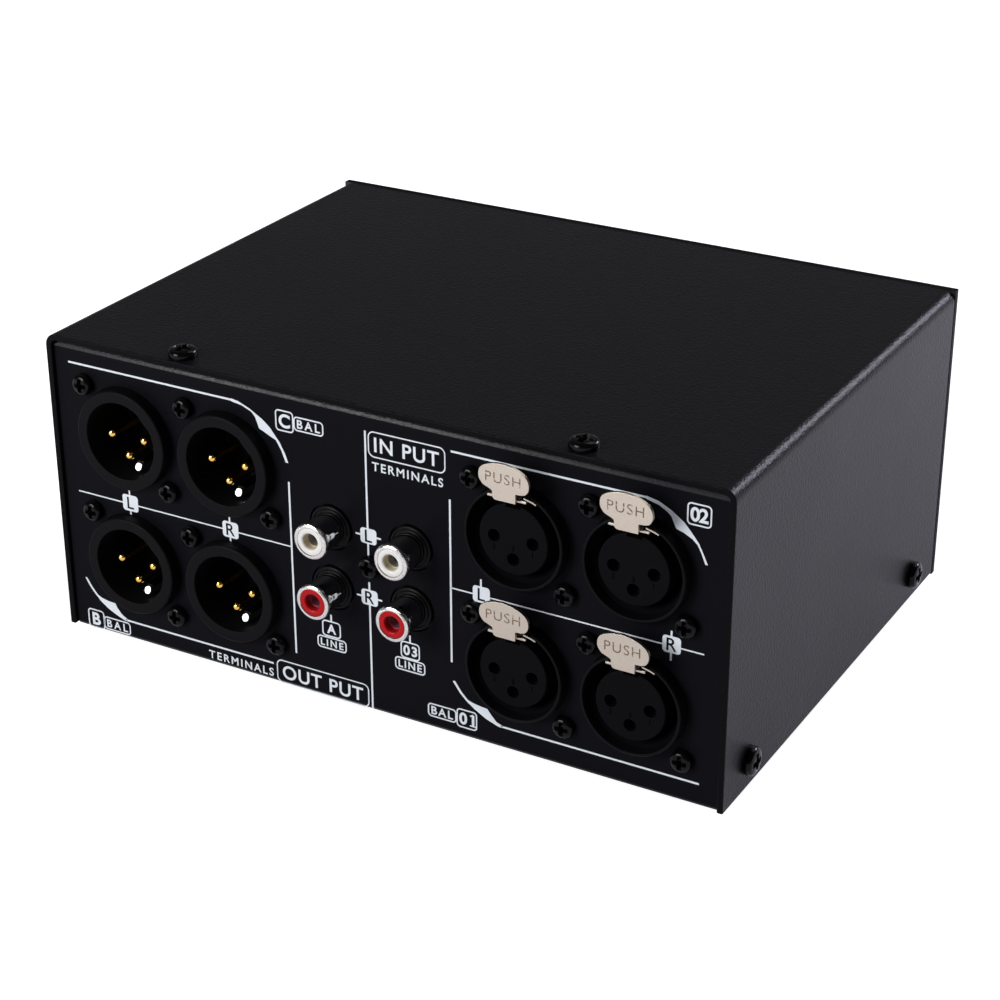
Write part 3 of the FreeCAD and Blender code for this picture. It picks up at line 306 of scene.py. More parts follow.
# Painted shade: a black without shine for the walls inside the input sockets' mouths, so that they stay
# dark as if in shade.
MOUTH_PAINTED_SHADE = grained(
    "mouth_painted_shade", (0.0034, 0.0034, 0.0044), (0.0042, 0.0042, 0.0054),
    roughness=0.75, specular=0.0,
)
SOCKET_BLACK = grained(
    "socket_black", (0.0038, 0.0038, 0.0043), (0.0056, 0.0056, 0.0062),
    roughness=0.42, depth_mm=0.006, specular=0.038,
)
INSERT_BLACK = grained(
    "insert_black", (0.0018, 0.0018, 0.0024), (0.003, 0.003, 0.0036),
    roughness=0.6, grain_mm=0.25, depth_mm=0.008, specular=0.035,
)
INSERT_MARK = grained(
    "insert_marks", (0.0004, 0.0004, 0.0005), (0.0006, 0.0006, 0.0007),
    roughness=0.8, specular=0.0,
)
JACK_BLACK = grained(
    "jack_black", (0.002, 0.002, 0.0022), (0.0035, 0.0035, 0.0037),
    roughness=0.36, spread=0.04, specular=0.09,
)
SCREW_BLACK = grained(
    "screw_black_zinc", (0.0012, 0.0012, 0.0014), (0.003, 0.003, 0.0032),
    roughness=0.16, grain_mm=0.5, spread=0.04, specular=0.12,
)
RUBBER = grained(
    "rubber_black", (0.02, 0.02, 0.021), (0.03, 0.03, 0.031),
    roughness=0.8, grain_mm=0.5, depth_mm=0.03,
)
HEADER_BLACK = grained(
    "header_black", (0.03, 0.03, 0.031), (0.04, 0.04, 0.041),
    roughness=0.55, depth_mm=0.01,
)
WHITE_MOULDED = grained(
    "white_moulded", (0.72, 0.715, 0.69), (0.76, 0.755, 0.73),
    roughness=0.34, grain_mm=0.4, depth_mm=0.003, Subsurface_Weight=0.15, Subsurface_Scale=0.001,
)
RED_MOULDED = grained(
    "red_moulded", (0.37, 0.004, 0.006), (0.43, 0.006, 0.009), roughness=0.28, grain_mm=0.4,
    depth_mm=0.003, specular=0.14, Subsurface_Weight=0.05, Subsurface_Scale=0.001,
)
# Painted highlight: the ground tongue's metal nose is given a near-white, half-diffuse colour that stands
# in for the glint on it.
TONGUE_PAINTED_HIGHLIGHT = grained(
    "tongue_painted_highlight", (0.86, 0.86, 0.84), (0.92, 0.92, 0.9),
    roughness=0.42, grain_mm=0.4, depth_mm=0.006, metallic=0.4,
)
LATCH_NICKEL = grained(
    "satin_nickel", (0.43, 0.383, 0.308), (0.60, 0.535, 0.435),
    roughness=0.34, depth_mm=0.02, spread=0.03, metallic=1.0,
)
LATCH_LETTER = speckled(
    "stamped_letter", (0.16, 0.11, 0.07), (0.46, 0.40, 0.33), roughness=0.5, size_mm=0.5, amount=0.22
)
NICKEL = speckled(
    "bright_nickel", (0.70, 0.68, 0.64), (0.42, 0.39, 0.34), roughness=0.17, size_mm=0.16, amount=0.22
)
NICKEL_BARREL = speckled(
    "bright_nickel_barrel", (0.70, 0.69, 0.66), (0.6, 0.58, 0.54),
    roughness=0.05, size_mm=0.5, amount=0.1,
)
# Painted shade: a near-black copy of nickel for the latch's slide and the ground tongue's strip, which
# lie in shade inside the sockets.
NICKEL_PAINTED_SHADE = speckled(
    "nickel_painted_shade", (0.05, 0.045, 0.04), (0.03, 0.026, 0.022),
    roughness=0.4, size_mm=0.3, amount=0.2,
)
GOLD = speckled(
    "gold_plate", (0.90, 0.56, 0.12), (0.6, 0.33, 0.05), roughness=0.12, size_mm=0.2, amount=0.1
)
# Painted shade: the gold contacts deep in the insert's holes are given a near-black gold, as they look in
# the holes' shade.
GOLD_PAINTED_SHADE = speckled(
    "gold_painted_shade", (0.03, 0.02, 0.008), (0.015, 0.01, 0.004),
    roughness=0.5, size_mm=0.2, amount=0.2,
)
FRONT_ANODISED = brushed(
    "front_anodised", (0.03, 0.03, 0.033), (0.038, 0.038, 0.041),
    roughness=0.4, lines=(40.0, 5000.0, 5000.0), depth_mm=0.012, metallic=0.8,
)
KNOB_ANODISED = brushed(
    "knob_anodised", (0.035, 0.035, 0.038), (0.045, 0.045, 0.048),
    roughness=0.33, lines=(900.0, 6000.0, 900.0), depth_mm=0.006, metallic=0.85,
)
ZINC = brushed(
    "zinc_plate", (0.6, 0.6, 0.58), (0.5, 0.5, 0.47),
    roughness=0.32, lines=(300.0, 300.0, 2500.0), depth_mm=0.006,
)
TURNED_SHAFT = brushed(
    "turned_shaft", (0.7, 0.7, 0.7), (0.62, 0.62, 0.61),
    roughness=0.26, lines=(400.0, 5000.0, 400.0), depth_mm=0.004,
)
SPRING_STEEL = brushed(
    "spring_steel", (0.62, 0.62, 0.62), (0.5, 0.5, 0.5),
    roughness=0.3, lines=(2000.0, 300.0, 2000.0), depth_mm=0.004,
)


def print_white():
    """Screen print: pale ink, slightly uneven, over the grain of the paint below."""
    finish = Finish("screen_print", (0.66, 0.70, 0.77), 0.55, Specular_IOR_Level=0.2)
    grain = finish.pattern(GRAIN, Size_mm=0.35)
    finish.blend_colour(grain["Height"], (0.78, 0.82, 0.87))
    finish.relief(grain["Height"], 0.01)
    return finish.material


def bend_paint():
    """The panel's paint on its bends as a lit copy with a painted sheen: lighter grains and more shine,
    dull towards the panel's two ends.
    """
    finish = Finish("panel_bends_painted_sheen", (0.0015, 0.0015, 0.0022), 0.4, Specular_IOR_Level=0.3)
    grain = finish.pattern(GRAIN, Size_mm=0.6)
    finish.blend_colour(grain["Height"], (0.009, 0.009, 0.0118))
    middle, dull_from, dull_to = 16 * MM, 30 * MM, 95 * MM
    aside = compute(finish.tree, "SUBTRACT", axes(finish.tree, finish.place)["X"], middle)
    reach = compute(finish.tree, "ABSOLUTE", aside)
    finish.link(ramp(finish.tree, reach, dull_from, dull_to, finish.roughness, 0.72), "Roughness")
    finish.relief(grain["Height"], 0.24)
    return finish.material


def board_green():
    """Solder mask with faint upright and level tracks under it."""
    finish = Finish("solder_mask", (0.012, 0.10, 0.035), 0.3, Coat_Weight=0.3)
    tracks = add_node(finish.tree, "ShaderNodeTexBrick", {
        "Vector": finish.place, "Color1": (*finish.colour, 1.0), "Color2": (0.015, 0.115, 0.04, 1.0),
        "Mortar": (0.03, 0.17, 0.06, 1.0), "Scale": 120.0, "Mortar Size": 0.03,
    })
    finish.link(tracks.outputs["Color"], "Base Color")
    finish.relief(finish.pattern(GRAIN, Size_mm=0.5)["Height"], 0.005)
    return finish.material


def ribbon_grey():
    """Flat cable: a ridge for each of its leads along its length."""
    finish = Finish("flat_cable", (0.4, 0.4, 0.41), 0.5)
    lead_pitch = 1.27 * MM
    ridges = add_node(finish.tree, "ShaderNodeTexWave", {
        "Vector": finish.place, "Scale": 1 / (math.pi * lead_pitch), "Distortion": 0.0,
    }, bands_direction="X")
    finish.blend_colour(ridges.outputs["Fac"], (0.5, 0.5, 0.51))
    finish.relief(ridges.outputs["Fac"], 0.3)
    return finish.material


def bore(name, wall, deep):
    """The hole of a jack's insulator: its plastic near the face, with a painted warm glow in the white
    one, then the plug pin's contact deeper in.
    """
    finish = Finish(name, wall, 0.4, Specular_IOR_Level=0.2)
    plastic_ends, contact_starts = (REAR + 7.0) * MM, (REAR + 6.7) * MM
    along = axes(finish.tree, finish.place)["Y"]
    finish.blend_colour(ramp(finish.tree, along, plastic_ends, contact_starts), deep)
    finish.relief(finish.pattern(GRAIN, Size_mm=0.4)["Height"], 0.006)
    return finish.material


PRINT_WHITE = print_white()
PANEL_BEND_PAINTED_SHEEN = bend_paint()
BOARD_GREEN = board_green()
RIBBON_GREY = ribbon_grey()
# The white bore's beige near the face is a painted glow.
WHITE_BORE = bore("white_bore", (0.66, 0.58, 0.40), (0.30, 0.29, 0.27))
RED_BORE = bore("red_bore", (0.30, 0.008, 0.012), (0.28, 0.09, 0.13))


# Forms


def join_corners(form, points):
    """A chain of edges through points; returns its vertices."""
    corners = [form.verts.new(point) for point in points]
    for a, b in zip(corners, corners[1:]):
        form.edges.new((a, b))
    return corners


def placed(name, data):
    """A new object with some data, in the scene."""
    thing = bpy.data.objects.new(name, data)
    bpy.context.scene.collection.objects.link(thing)
    return thing


def round_corners(form, corners, points):
    """Rounds the corners whose points have a third number."""
    for corner, (_, _, *rounding) in zip(corners, points):
        if any(rounding):
            bmesh.ops.bevel(
                form, geom=[corner], offset=rounding[0], offset_type="OFFSET", segments=6,
                profile=0.5, affect="VERTICES", material=-1, clamp_overlap=True,
            )


def turned(points, steps=72):
    """A closed turned form about Y, from (radius, y) or (radius, y, rounding) corners."""
    form = bmesh.new()
    corners = join_corners(form, [(radius, y, 0) for radius, y, *_ in points])
    if points[0][0] > 0 or points[-1][0] > 0:
        form.edges.new((corners[-1], corners[0]))
    round_corners(form, corners, points)
    bmesh.ops.spin(
        form, geom=form.verts[:] + form.edges[:], cent=(0, 0, 0), axis=(0, 1, 0), dvec=(0, 0, 0),
        angle=math.tau, steps=steps, use_merge=True,
    )
    bmesh.ops.remove_doubles(form, verts=form.verts, dist=0.0005)
    bmesh.ops.recalc_face_normals(form, faces=form.faces)
    return form


def plate(points, back, face, edge=0.0):
    """A flat form between two y, from (x, z) or (x, z, rounding) corners, its face's rim rounded."""
    form = bmesh.new()
    corners = join_corners(form, [(x, back, z) for x, z, *_ in points])
    form.faces.new(corners)
    round_corners(form, corners, points)
    grown = bmesh.ops.extrude_face_region(form, geom=form.faces[:])["geom"]
    front = [part for part in grown if isinstance(part, bmesh.types.BMVert)]
    bmesh.ops.translate(form, verts=front, vec=(0, face - back, 0))
    bmesh.ops.recalc_face_normals(form, faces=form.faces)
    if edge:
        rim = [e for e in form.edges if all(abs(v.co.y - face) < 1e-4 for v in e.verts)]
        soften(form, rim, edge)
    return form


def rectangle(left, right, low, high, rounding=0.0):
    return [
        (left, low, rounding), (right, low, rounding), (right, high, rounding), (left, high, rounding)
    ]


def soften(form, edges, width, segments=2):
    bmesh.ops.bevel(
        form, geom=edges, offset=width, offset_type="OFFSET", segments=segments, profile=0.5,
        affect="EDGES", material=-1, clamp_overlap=True,
    )


def to_mesh(form):
    """A mesh from a form, smooth except at its sharp edges; the form is used up."""
    for face in form.faces:
        face.smooth = True
    for edge in form.edges:
        edge.smooth = edge.is_manifold and edge.calc_face_angle(0) < math.radians(32)
    mesh = bpy.data.meshes.new("form")
    form.to_mesh(mesh)
    form.free()
    return mesh


def moved(form, x=0, y=0, z=0, turn=None):
    if turn is not None:
        bmesh.ops.transform(form, matrix=turn, verts=form.verts)
    bmesh.ops.translate(form, verts=form.verts, vec=(x, y, z))
    return form


def together(*forms):
    """One form of several."""
    whole = bmesh.new()
    for form in forms:
        mesh = to_mesh(form)
        whole.from_mesh(mesh)
        bpy.data.meshes.remove(mesh)
    return whole


def cut_out(form, cutter):
    """What is left of a form when a cutter is taken away from it."""
    target = placed("target", to_mesh(form))
    tool = placed("tool", to_mesh(cutter))
    boolean = target.modifiers.new("cut", "BOOLEAN")
    boolean.operation = "DIFFERENCE"
    boolean.solver = "EXACT"
    boolean.object = tool
    result = bmesh.new()
    result.from_object(target, bpy.context.evaluated_depsgraph_get())
    bmesh.ops.remove_doubles(result, verts=result.verts, dist=0.0002)
    for thing in (target, tool):
        mesh = thing.data
        bpy.data.objects.remove(thing)
        bpy.data.meshes.remove(mesh)
    return result


def set_out(
    name, form, places, material, replaced=(), second=None, on_second=None, body="case",
):
    """One piece made of copies of a form at (x, y, z) or (x, y, z, turn) places, in metres.

    A second material goes on the form's faces for which on_second(centre, normal) is true.
    """
    master = to_mesh(form)
    if second:
        for face in master.polygons:
            face.material_index = 1 if on_second(face.center, face.normal) else 0
    whole = bmesh.new()
    for x, y, z, *turn in places:
        start = len(whole.verts)
        whole.from_mesh(master)
        whole.verts.ensure_lookup_table()
        matrix = Matrix.Translation((x, y, z)) @ (turn[0] if turn else TOWARDS_REAR)
        bmesh.ops.transform(whole, matrix=matrix, verts=whole.verts[start:])
    bmesh.ops.scale(whole, vec=(MM, MM, MM), verts=whole.verts)
    mesh = bpy.data.meshes.new(name)
    whole.to_mesh(mesh)
    whole.free()
    bpy.data.meshes.remove(master)
    mesh.materials.append(material)
    if second:
        mesh.materials.append(second)
    piece = placed(name, mesh)
    even_normals(piece)
    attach(piece, body)
    if replaced:
        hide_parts(*replaced)
    return piece


def even_normals(piece):
    """Keeps flat faces flat in the light, and lets bends and softened edges take the turn."""
    modifier = piece.modifiers.new("even", "WEIGHTED_NORMAL")
    modifier.keep_sharp = True
    evaluated = piece.evaluated_get(bpy.context.evaluated_depsgraph_get())
    even = bpy.data.meshes.new_from_object(evaluated)
    piece.modifiers.remove(modifier)
    rough = piece.data
    piece.data = even
    bpy.data.meshes.remove(rough)


def at_sockets(sockets, offsets=((0, 0),)):
    return [(x + dx, REAR, z + dz) for x, z in sockets.values() for dx, dz in offsets]


def paint(material, *names):
    """Gives CAD nodes that keep their shape their material."""
    for name in names:
        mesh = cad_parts[name].data
        mesh.materials.clear()
        mesh.materials.append(material)


def paint_bends(material, name):
    """Gives the bends and rims of a sheet metal CAD node their own material."""
    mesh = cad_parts[name].data
    mesh.materials.append(material)
    for face in mesh.polygons:
        face.material_index = 0 if abs(face.normal.y) > 0.97 else 1


# Screws


def cross_recess(reach, width, depth, face):
    """The cross in a screw's head: four arms that narrow and slope towards the bottom."""
    half = width / 2
    arms = [
        (half, half), (reach, half), (reach, -half), (half, -half), (half, -reach), (-half, -reach),
        (-half, -half), (-reach, -half), (-reach, half), (-half, half), (-half, reach), (half, reach),
    ]
    form = plate([(x, z, 0.12 * reach) for x, z in arms], face - depth, face + 0.3)
    bottom = [v for v in form.verts if v.co.y < face - depth + 1e-3]
    bmesh.ops.scale(form, vec=(0.5, 1, 0.5), verts=bottom)
    return form


def pan_screw(head, dome, shank, length):
    """A pan head screw that seats on y = 0, with a cross recess."""
    form = turned([
        (0, -length), (shank * 0.8, -length), (shank, shank * 0.4 - length), (shank, 0),
        (head * 0.97, 0), (head, dome * 0.25), (head * 0.985, dome * 0.52), (head * 0.93, dome * 0.74),
        (head * 0.82, dome * 0.87), (head * 0.55, dome * 0.96), (0, dome),
    ], steps=48)
    form = cut_out(form, cross_recess(head * 0.73, head * 0.46, dome * 0.75, dome))
    sharp = [e for e in form.edges if e.is_manifold and e.calc_face_angle(0) > math.radians(40)]
    rim = [e for e in sharp if all(v.co.y > dome * 0.7 for v in e.verts)]
    soften(form, rim, 0.06)
    return form


def screws():
    low, high = box_mm("top_cover")
    top_aside, top_inset = 52.5, 4.3
    side_level, side_rear_inset, side_front_inset = 7.5, 13.4, 18.6
    places = [(x, high.y - top_inset, high.z, UPWARDS) for x in (-top_aside, top_aside)]
    for y in (high.y - side_rear_inset, FRONT + side_front_inset):
        places.append((high.x, y, FLOOR + side_level, TOWARDS_LEFT))
        places.append((low.x, y, FLOOR + side_level, TOWARDS_RIGHT))
    cover_screw = pan_screw(head=3.5, dome=2.2, shank=1.7, length=6.0)
    set_out("cover_screws_turned", cover_screw, places, SCREW_BLACK, ["cover_screws"])
    for node, length, places in (
        ("output_socket_screws", 4.0, at_sockets(OUTPUTS, SCREWS)),
        ("input_socket_screws", 4.0, at_sockets(INPUTS, SCREWS)),
        ("phono_block_screw", 8.0, at_sockets({"phono": axis_mm("phono_block_screw")})),
    ):
        panel_screw = pan_screw(head=2.65, dome=2.3, shank=1.3, length=length)
        set_out(f"{node}_turned", panel_screw, places, SCREW_BLACK, [node])


# Case


def folded_cover():
    """The cover's sheet, with round bends and softened edges as under a coat of powder."""
    low, high = box_mm("top_cover")
    wall, inside_bend, outside_bend, soft_edge = 1.5, 1.5, 3.0, 0.3
    form = plate([
        (low.x, low.z), (low.x + wall, low.z), (low.x + wall, high.z - wall, inside_bend),
        (high.x - wall, high.z - wall, inside_bend), (high.x - wall, low.z), (high.x, low.z),
        (high.x, high.z, outside_bend), (low.x, high.z, outside_bend),
    ], low.y, high.y)
    rims = [e for e in form.edges if e.calc_face_angle(0) > math.radians(60)]
    soften(form, rims, soft_edge, 3)
    set_out(
        "top_cover_folded", form, [(0, 0, 0)], COVER_POWDER, ["top_cover"],
        # painted shade on the rear-facing cut edge
        EDGE_PAINTED_SHADE, lambda centre, normal: normal.y > 0.9,
    )


def feet():
    """Four tapered feet, with sunk seats for their screws."""
    low, high = box_mm("rubber_feet")
    hole, radius, sole, height, seat = 1.65, 6.2, 5.6, 4.0, 1.8
    form = turned([
        (hole, 0), (radius, 0, 0.2), (sole, height, 0.7), (3.3, height, 0.4), (3.25, seat, 0.2),
        (hole, seat),
    ])
    places = [
        (x, y, FLOOR, DOWNWARDS)
        for x in (low.x + radius, high.x - radius)
        for y in (low.y + radius, high.y - radius)
    ]
    set_out("rubber_feet_moulded", form, places, RUBBER, ["rubber_feet"])
    set_out(
        "foot_screws_turned", pan_screw(head=2.8, dome=1.7, shank=1.5, length=5.5),
        [(x, y, z - seat, turn) for x, y, z, turn in places],
        SCREW_BLACK, ["foot_screws"],
    )


# Round sockets


def socket_flange(inner):
    """The flange behind the panel, as a frame round the socket's barrel."""
    half_width, half_height, thickness = 14.2, 15.0, 3.0
    form = plate(
        rectangle(-half_width, half_width, -half_height, half_height, 1.0),
        -PANEL_SHEET - thickness, -PANEL_SHEET,
    )
    return cut_out(form, turned([(0, -6), (inner, -6), (inner, 0), (0, 0)]))


def output_sockets():
    """Deep cups with a broad ring, a lug inside the ring, pins and a ground tongue."""
    ring, face, cup_radius, bottom, end = 12.7, 3.2, 9.7, -13.0, -17.0
    cup = turned([
        (0, end), (ring, end), (ring, face - 0.5), (ring - 0.2, face, 0.3),
        (cup_radius + 0.1, face, 0.25), (cup_radius, bottom, 0.4), (0, bottom),
    ], steps=96)
    lug = plate(rectangle(-1.8, 1.8, 9.2, 10.3, 0.3), -6.0, 2.9, 0.15)
    cup = together(cup, socket_flange(ring), moved(lug, turn=Matrix.Rotation(math.radians(-48), 4, "Y")))
    for name, (x, z) in OUTPUTS.items():
        set_out(
            f"output_cup_{name}", cup.copy(), [(x, REAR, z)], SOCKET_BLACK,
            [f"output_socket_{name}"],
        )
    cup.free()
    pin_radius, tip, tail, tail_end = 1.195, 0.8, 0.6, -17.3
    slopes = [math.radians(angle) for angle in range(0, 90, 10)]
    dome = [(pin_radius * math.cos(a), tip - pin_radius * (1 - math.sin(a))) for a in slopes]
    pin = turned([
        (0, tail_end), (tail, tail_end), (tail, bottom), (pin_radius, bottom), *dome, (0, tip),
    ], steps=32)
    set_out(
        "output_pins_turned", pin, at_sockets(OUTPUTS, CONTACTS), GOLD, ["output_pins"]
    )
    set_out(
        "output_ground_tongues", ground_tongue(), at_sockets(OUTPUTS, ((-1.4, -7.2),)),
        # painted highlight on the tongue's nose
        TONGUE_PAINTED_HIGHLIGHT, ["output_ground_tabs"],
        # painted shade on the tongue's strip along the cup
        NICKEL_PAINTED_SHADE, lambda centre, normal: centre.y < -2.35,
    )


def ground_tongue():
    """A spring strip along the cup, bent down to a rounded nose that faces up and out."""
    strip = plate(rectangle(-0.9, 0.9, -0.3, 0.3), -17.3, -2.4)
    nose = plate(rectangle(-0.9, 0.9, -0.98, 0.98, 0.8), -0.25, 0.25, 0.12)
    return together(strip, moved(nose, 0.0, -1.5, -0.9, Matrix.Rotation(math.radians(27), 4, "X")))


def input_sockets():
    """Rims with a steep mouth and a channel for the latch, round an insert with three holes."""
    rim, face, mouth, insert_radius, insert_face, hole = 12.3, 3.3, 9.9, 8.55, 2.9, 1.52
    shell = turned([
        (0, -17), (rim, -17), (rim, face, 0.4), (11.6, face, 0.15), (11.2, 0.8, 0.3), (mouth, -0.6, 0.3),
        (mouth, -14), (0, -14),
    ], steps=96)
    shell = cut_out(shell, plate(rectangle(-3.2, 3.2, 10.6, 12.6), -16, 4))
    shell = cut_out(shell, plate(rectangle(-4.6, 4.6, 10.6, 12.6), -1.5, 4))
    shell = together(shell, socket_flange(rim))
    insert = turned([
        (0, -14), (insert_radius, -14), (insert_radius, insert_face, 0.35), (0, insert_face),
    ], steps=96)
    for x, z in CONTACTS:
        insert = cut_out(insert, moved(turned([(0, -15), (hole, -15), (hole, 5), (0, 5)], 32), x, 0, z))
    insert = cut_out(insert, plate(rectangle(-1.85, 1.85, 7.6, 10.0), -3.1, 5))
    numerals = [
        moved(raised_word(numeral, x, z, 1.2), 0, insert_face - 0.02, 0)
        for numeral, x, z in (("2", 4.8, -2.6), ("1", -4.8, -2.6), ("3", 0, -2.2))
    ]
    insert = together(insert, *numerals)
    for name, (x, z) in INPUTS.items():
        place = [(x, REAR, z)]
        set_out(
            f"input_shell_{name}", shell.copy(), place,
            SOCKET_BLACK, [f"input_socket_{name}"],
            # painted shade on the walls inside the mouth
            MOUTH_PAINTED_SHADE, lambda centre, normal: centre.xz.length < 11.7 and centre.y < face - 0.1,
        )
        set_out(
            f"input_core_{name}", insert.copy(), place,
            INSERT_BLACK, [f"input_insert_{name}"],
            INSERT_MARK, lambda centre, normal: centre.y > insert_face + 0.02,
        )
        set_out(
            f"latch_{name}_stamped", latch(), place,
            LATCH_NICKEL, [f"input_latch_{name}"],
            # painted shade on the slide inside the socket
            NICKEL_PAINTED_SHADE, lambda centre, normal: centre.y < 4 and centre.z < 12, body=f"latch_{name}",
        )
        letters = moved(raised_word("PUSH", 0.05, 16.4, 2.4, 8.6, -0.004), 0, THUMB_FACE - 0.04, 0)
        set_out(
            f"latch_{name}_letters", letters, place, LATCH_LETTER, body=f"latch_{name}"
        )
    shell.free()
    insert.free()
    set_out("latch_spring_ends", spring_end(), at_sockets(INPUTS), LATCH_NICKEL)


def latch():
    """A stamped thumb plate with a stem, bent to a slide that runs into the socket."""
    thumb = plate([
        (6.1, 15.6, 0.6), (6.1, 17.3, 0.6), (5.6, 18.2, 0.4), (4.6, 18.9, 0.4), (2.6, 19.6, 0.6),
        (0.2, 19.85, 0.6), (-2.2, 19.5, 0.6), (-4.2, 18.75, 0.6), (-5.7, 17.7, 0.6), (-6.3, 16.3, 0.6),
        (-6.2, 14.8, 0.5), (-5.5, 13.8, 0.4), (-4.5, 13.5, 0.3), (-3.0, 13.4, 0.1), (-3.0, 11.1, 0.12),
        (2.1, 11.1, 0.3), (2.65, 11.6, 0.3), (2.75, 13.2, 0.3), (3.6, 13.6, 0.3), (5.1, 14.2, 0.4),
    ], THUMB_FACE - 0.8, THUMB_FACE, 0.14)
    slide = plate(rectangle(-2.7, 2.4, 11.15, 11.9), -12.0, 6.9)
    bar = plate(rectangle(-4.8, 4.8, 10.9, 11.45, 0.2), 5.35, 5.9, 0.12)
    return together(thumb, slide, bar)


def spring_end():
    """The end of a latch's spring, a strip along the edge of the socket's mouth."""
    outline = [(-2.8, 10.6), (-2.8, 11.0), (-4.9, 10.5), (-5.9, 10.05), (-5.8, 9.7), (-4.8, 10.1)]
    return plate(outline, 3.1, 3.45, 0.06)


def latch_springs():
    """Coils between a latch's slide and the end of its channel, at their length in the CAD, each with a
    mesh of its own.
    """
    wire, coils, steps, gap = 0.11, 7, 20, 0.02
    for name in INPUTS:
        low, high = box_mm(f"latch_spring_{name}")
        middle = (low + high) / 2
        rise = high.y - low.y - 2 * gap - 2 * wire
        form = bmesh.new()
        bmesh.ops.create_circle(form, segments=8, radius=wire)
        moved(form, (high.x - low.x) / 2 - wire)
        bmesh.ops.spin(
            form, geom=form.verts[:] + form.edges[:], cent=(0, 0, 0), axis=(0, 1, 0),
            dvec=(0, rise / (coils * steps), 0), angle=math.tau * coils, steps=coils * steps,
            use_merge=False,
        )
        bmesh.ops.holes_fill(form, edges=form.edges, sides=8)
        bmesh.ops.recalc_face_normals(form, faces=form.faces)
        spring = set_out(
            f"latch_coil_{name}", form, [(middle.x, low.y + wire + gap, middle.z)],
            SPRING_STEEL, [f"latch_spring_{name}"],
        )
        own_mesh(spring)


def flat_word(text, weight, spacing=1.0):
    """Letters of Blender's own font, flat in X and Y; returns the form and its box."""
    curve = bpy.data.curves.new(text, "FONT")
    curve.body = text
    curve.offset = weight
    curve.space_character = spacing
    curve.extrude = 0.01
    holder = placed(text, curve)
    mesh = bpy.data.meshes.new_from_object(holder)
    bpy.data.objects.remove(holder)
    bpy.data.curves.remove(curve)
    form = bmesh.new()
    form.from_mesh(mesh)
    bpy.data.meshes.remove(mesh)
    bmesh.ops.remove_doubles(form, verts=form.verts, dist=0.00001)
    xs = [v.co.x for v in form.verts]
    ys = [v.co.y for v in form.verts]
    return form, (min(xs), max(xs), min(ys), max(ys))


def raised_word(text, x, z, height, width=None, weight=0.0):
    """Letters of a height, centred on (x, z), that stand 0.06 out of y = 0 towards the rear.

    A width moves the letters of a word apart and keeps their shape.
    """
    form, (left, right, low, high) = flat_word(text, weight)
    size = height / (high - low)
    if width and len(text) > 1:
        wider, (wider_left, wider_right, _, _) = flat_word(text, weight, 2.0)
        wider.free()
        per_step = (wider_right - wider_left) - (right - left)
        form.free()
        form, (left, right, low, high) = flat_word(
            text, weight, 1 + (width / size - (right - left)) / per_step
        )
    bmesh.ops.translate(form, verts=form.verts, vec=(-(left + right) / 2, -(low + high) / 2, 0))
    bmesh.ops.scale(form, vec=(size, size, 3.0), verts=form.verts)
    upright = Matrix(((-1, 0, 0, 0), (0, 0, 1, 0), (0, 1, 0, 0), (0, 0, 0, 1)))
    bmesh.ops.transform(form, matrix=upright, verts=form.verts)
    return moved(form, x, 0.03, z)


# Phono jacks


def phono_jacks():
    """Mirror-bright barrels with a lip, in black collars, round coloured insulators."""
    middle, collar, barrel, lip_starts = FLOOR + 38.3, 5.3, 4.1, 7.6
    block = plate(rectangle(-16.5, 16.5, -14, 14, 0.8), -12 - PANEL_SHEET, -PANEL_SHEET)
    rings = [
        moved(turned([
            (4.12, -8), (collar, -8), (collar, 0.25), (collar - 0.15, 0.4, 0.1), (4.8, 0.4, 0.1),
            (4.7, 0.05), (4.45, 0.05), (4.4, 0.35, 0.1), (4.12, 0.4),
        ]), x, 0, z - middle)
        for x, z in JACKS.values()
    ]
    set_out(
        "phono_block_moulded", together(block, *rings), [(0, REAR, middle)],
        JACK_BLACK, ["phono_block"],
    )
    shell = turned([
        (3.39, -8), (barrel, -8), (barrel, lip_starts - 0.05), (barrel, lip_starts), (4.32, 7.62),
        (4.4, 7.85), (4.4, 8.35), (4.27, 8.72), (3.98, 8.93), (3.7, 9.0), (3.5, 8.95), (3.39, 8.8),
    ], steps=96)
    for name, (x, z) in JACKS.items():
        set_out(
            f"phono_barrel_{name}", shell.copy(), [(x, REAR, z)], NICKEL,
            [f"phono_shell_{name}"], NICKEL_BARREL, lambda centre, normal: centre.y < lip_starts - 0.02,
        )
    shell.free()
    insulator = turned([
        (2.32, -8), (3.37, -8), (3.37, 8.7), (3.22, 8.85, 0.05), (2.2, 8.85, 0.25), (1.98, 8.5, 0.2),
        (1.92, 7.0), (1.78, 6.9), (1.78, 3.0), (2.32, 3.0),
    ], steps=64)
    for colour, side, finish, inside in (
        ("white", "left", WHITE_MOULDED, WHITE_BORE), ("red", "right", RED_MOULDED, RED_BORE),
    ):
        jacks = [JACKS[f"{kind}_{side}"] for kind in ("output", "input")]
        set_out(
            f"phono_insulators_{colour}_moulded", insulator.copy(), [(x, REAR, z) for x, z in jacks],
            finish, [f"phono_insulators_{colour}"],
            inside, lambda centre, normal: centre.xz.length < 2.1 and centre.y < 8.45,
        )
    insulator.free()


# Print on the rear panel


def printed(shapes):
    """Shapes drawn from the box's underside, as one form on the rear panel."""
    return moved(together(*shapes), 0, REAR, FLOOR)


def inked(outline):
    """Ink of 0.05 on y = 0, sunk a little into what it is printed on."""
    return plate(outline, -0.02, 0.05)


def stroke(x1, z1, x2, z2, width):
    """A straight line of ink between two points."""
    a = Vector((x1, z1))
    b = Vector((x2, z2))
    across = (b - a).orthogonal().normalized() * width / 2
    return inked([tuple(point) for point in (a + across, b + across, b - across, a - across)])


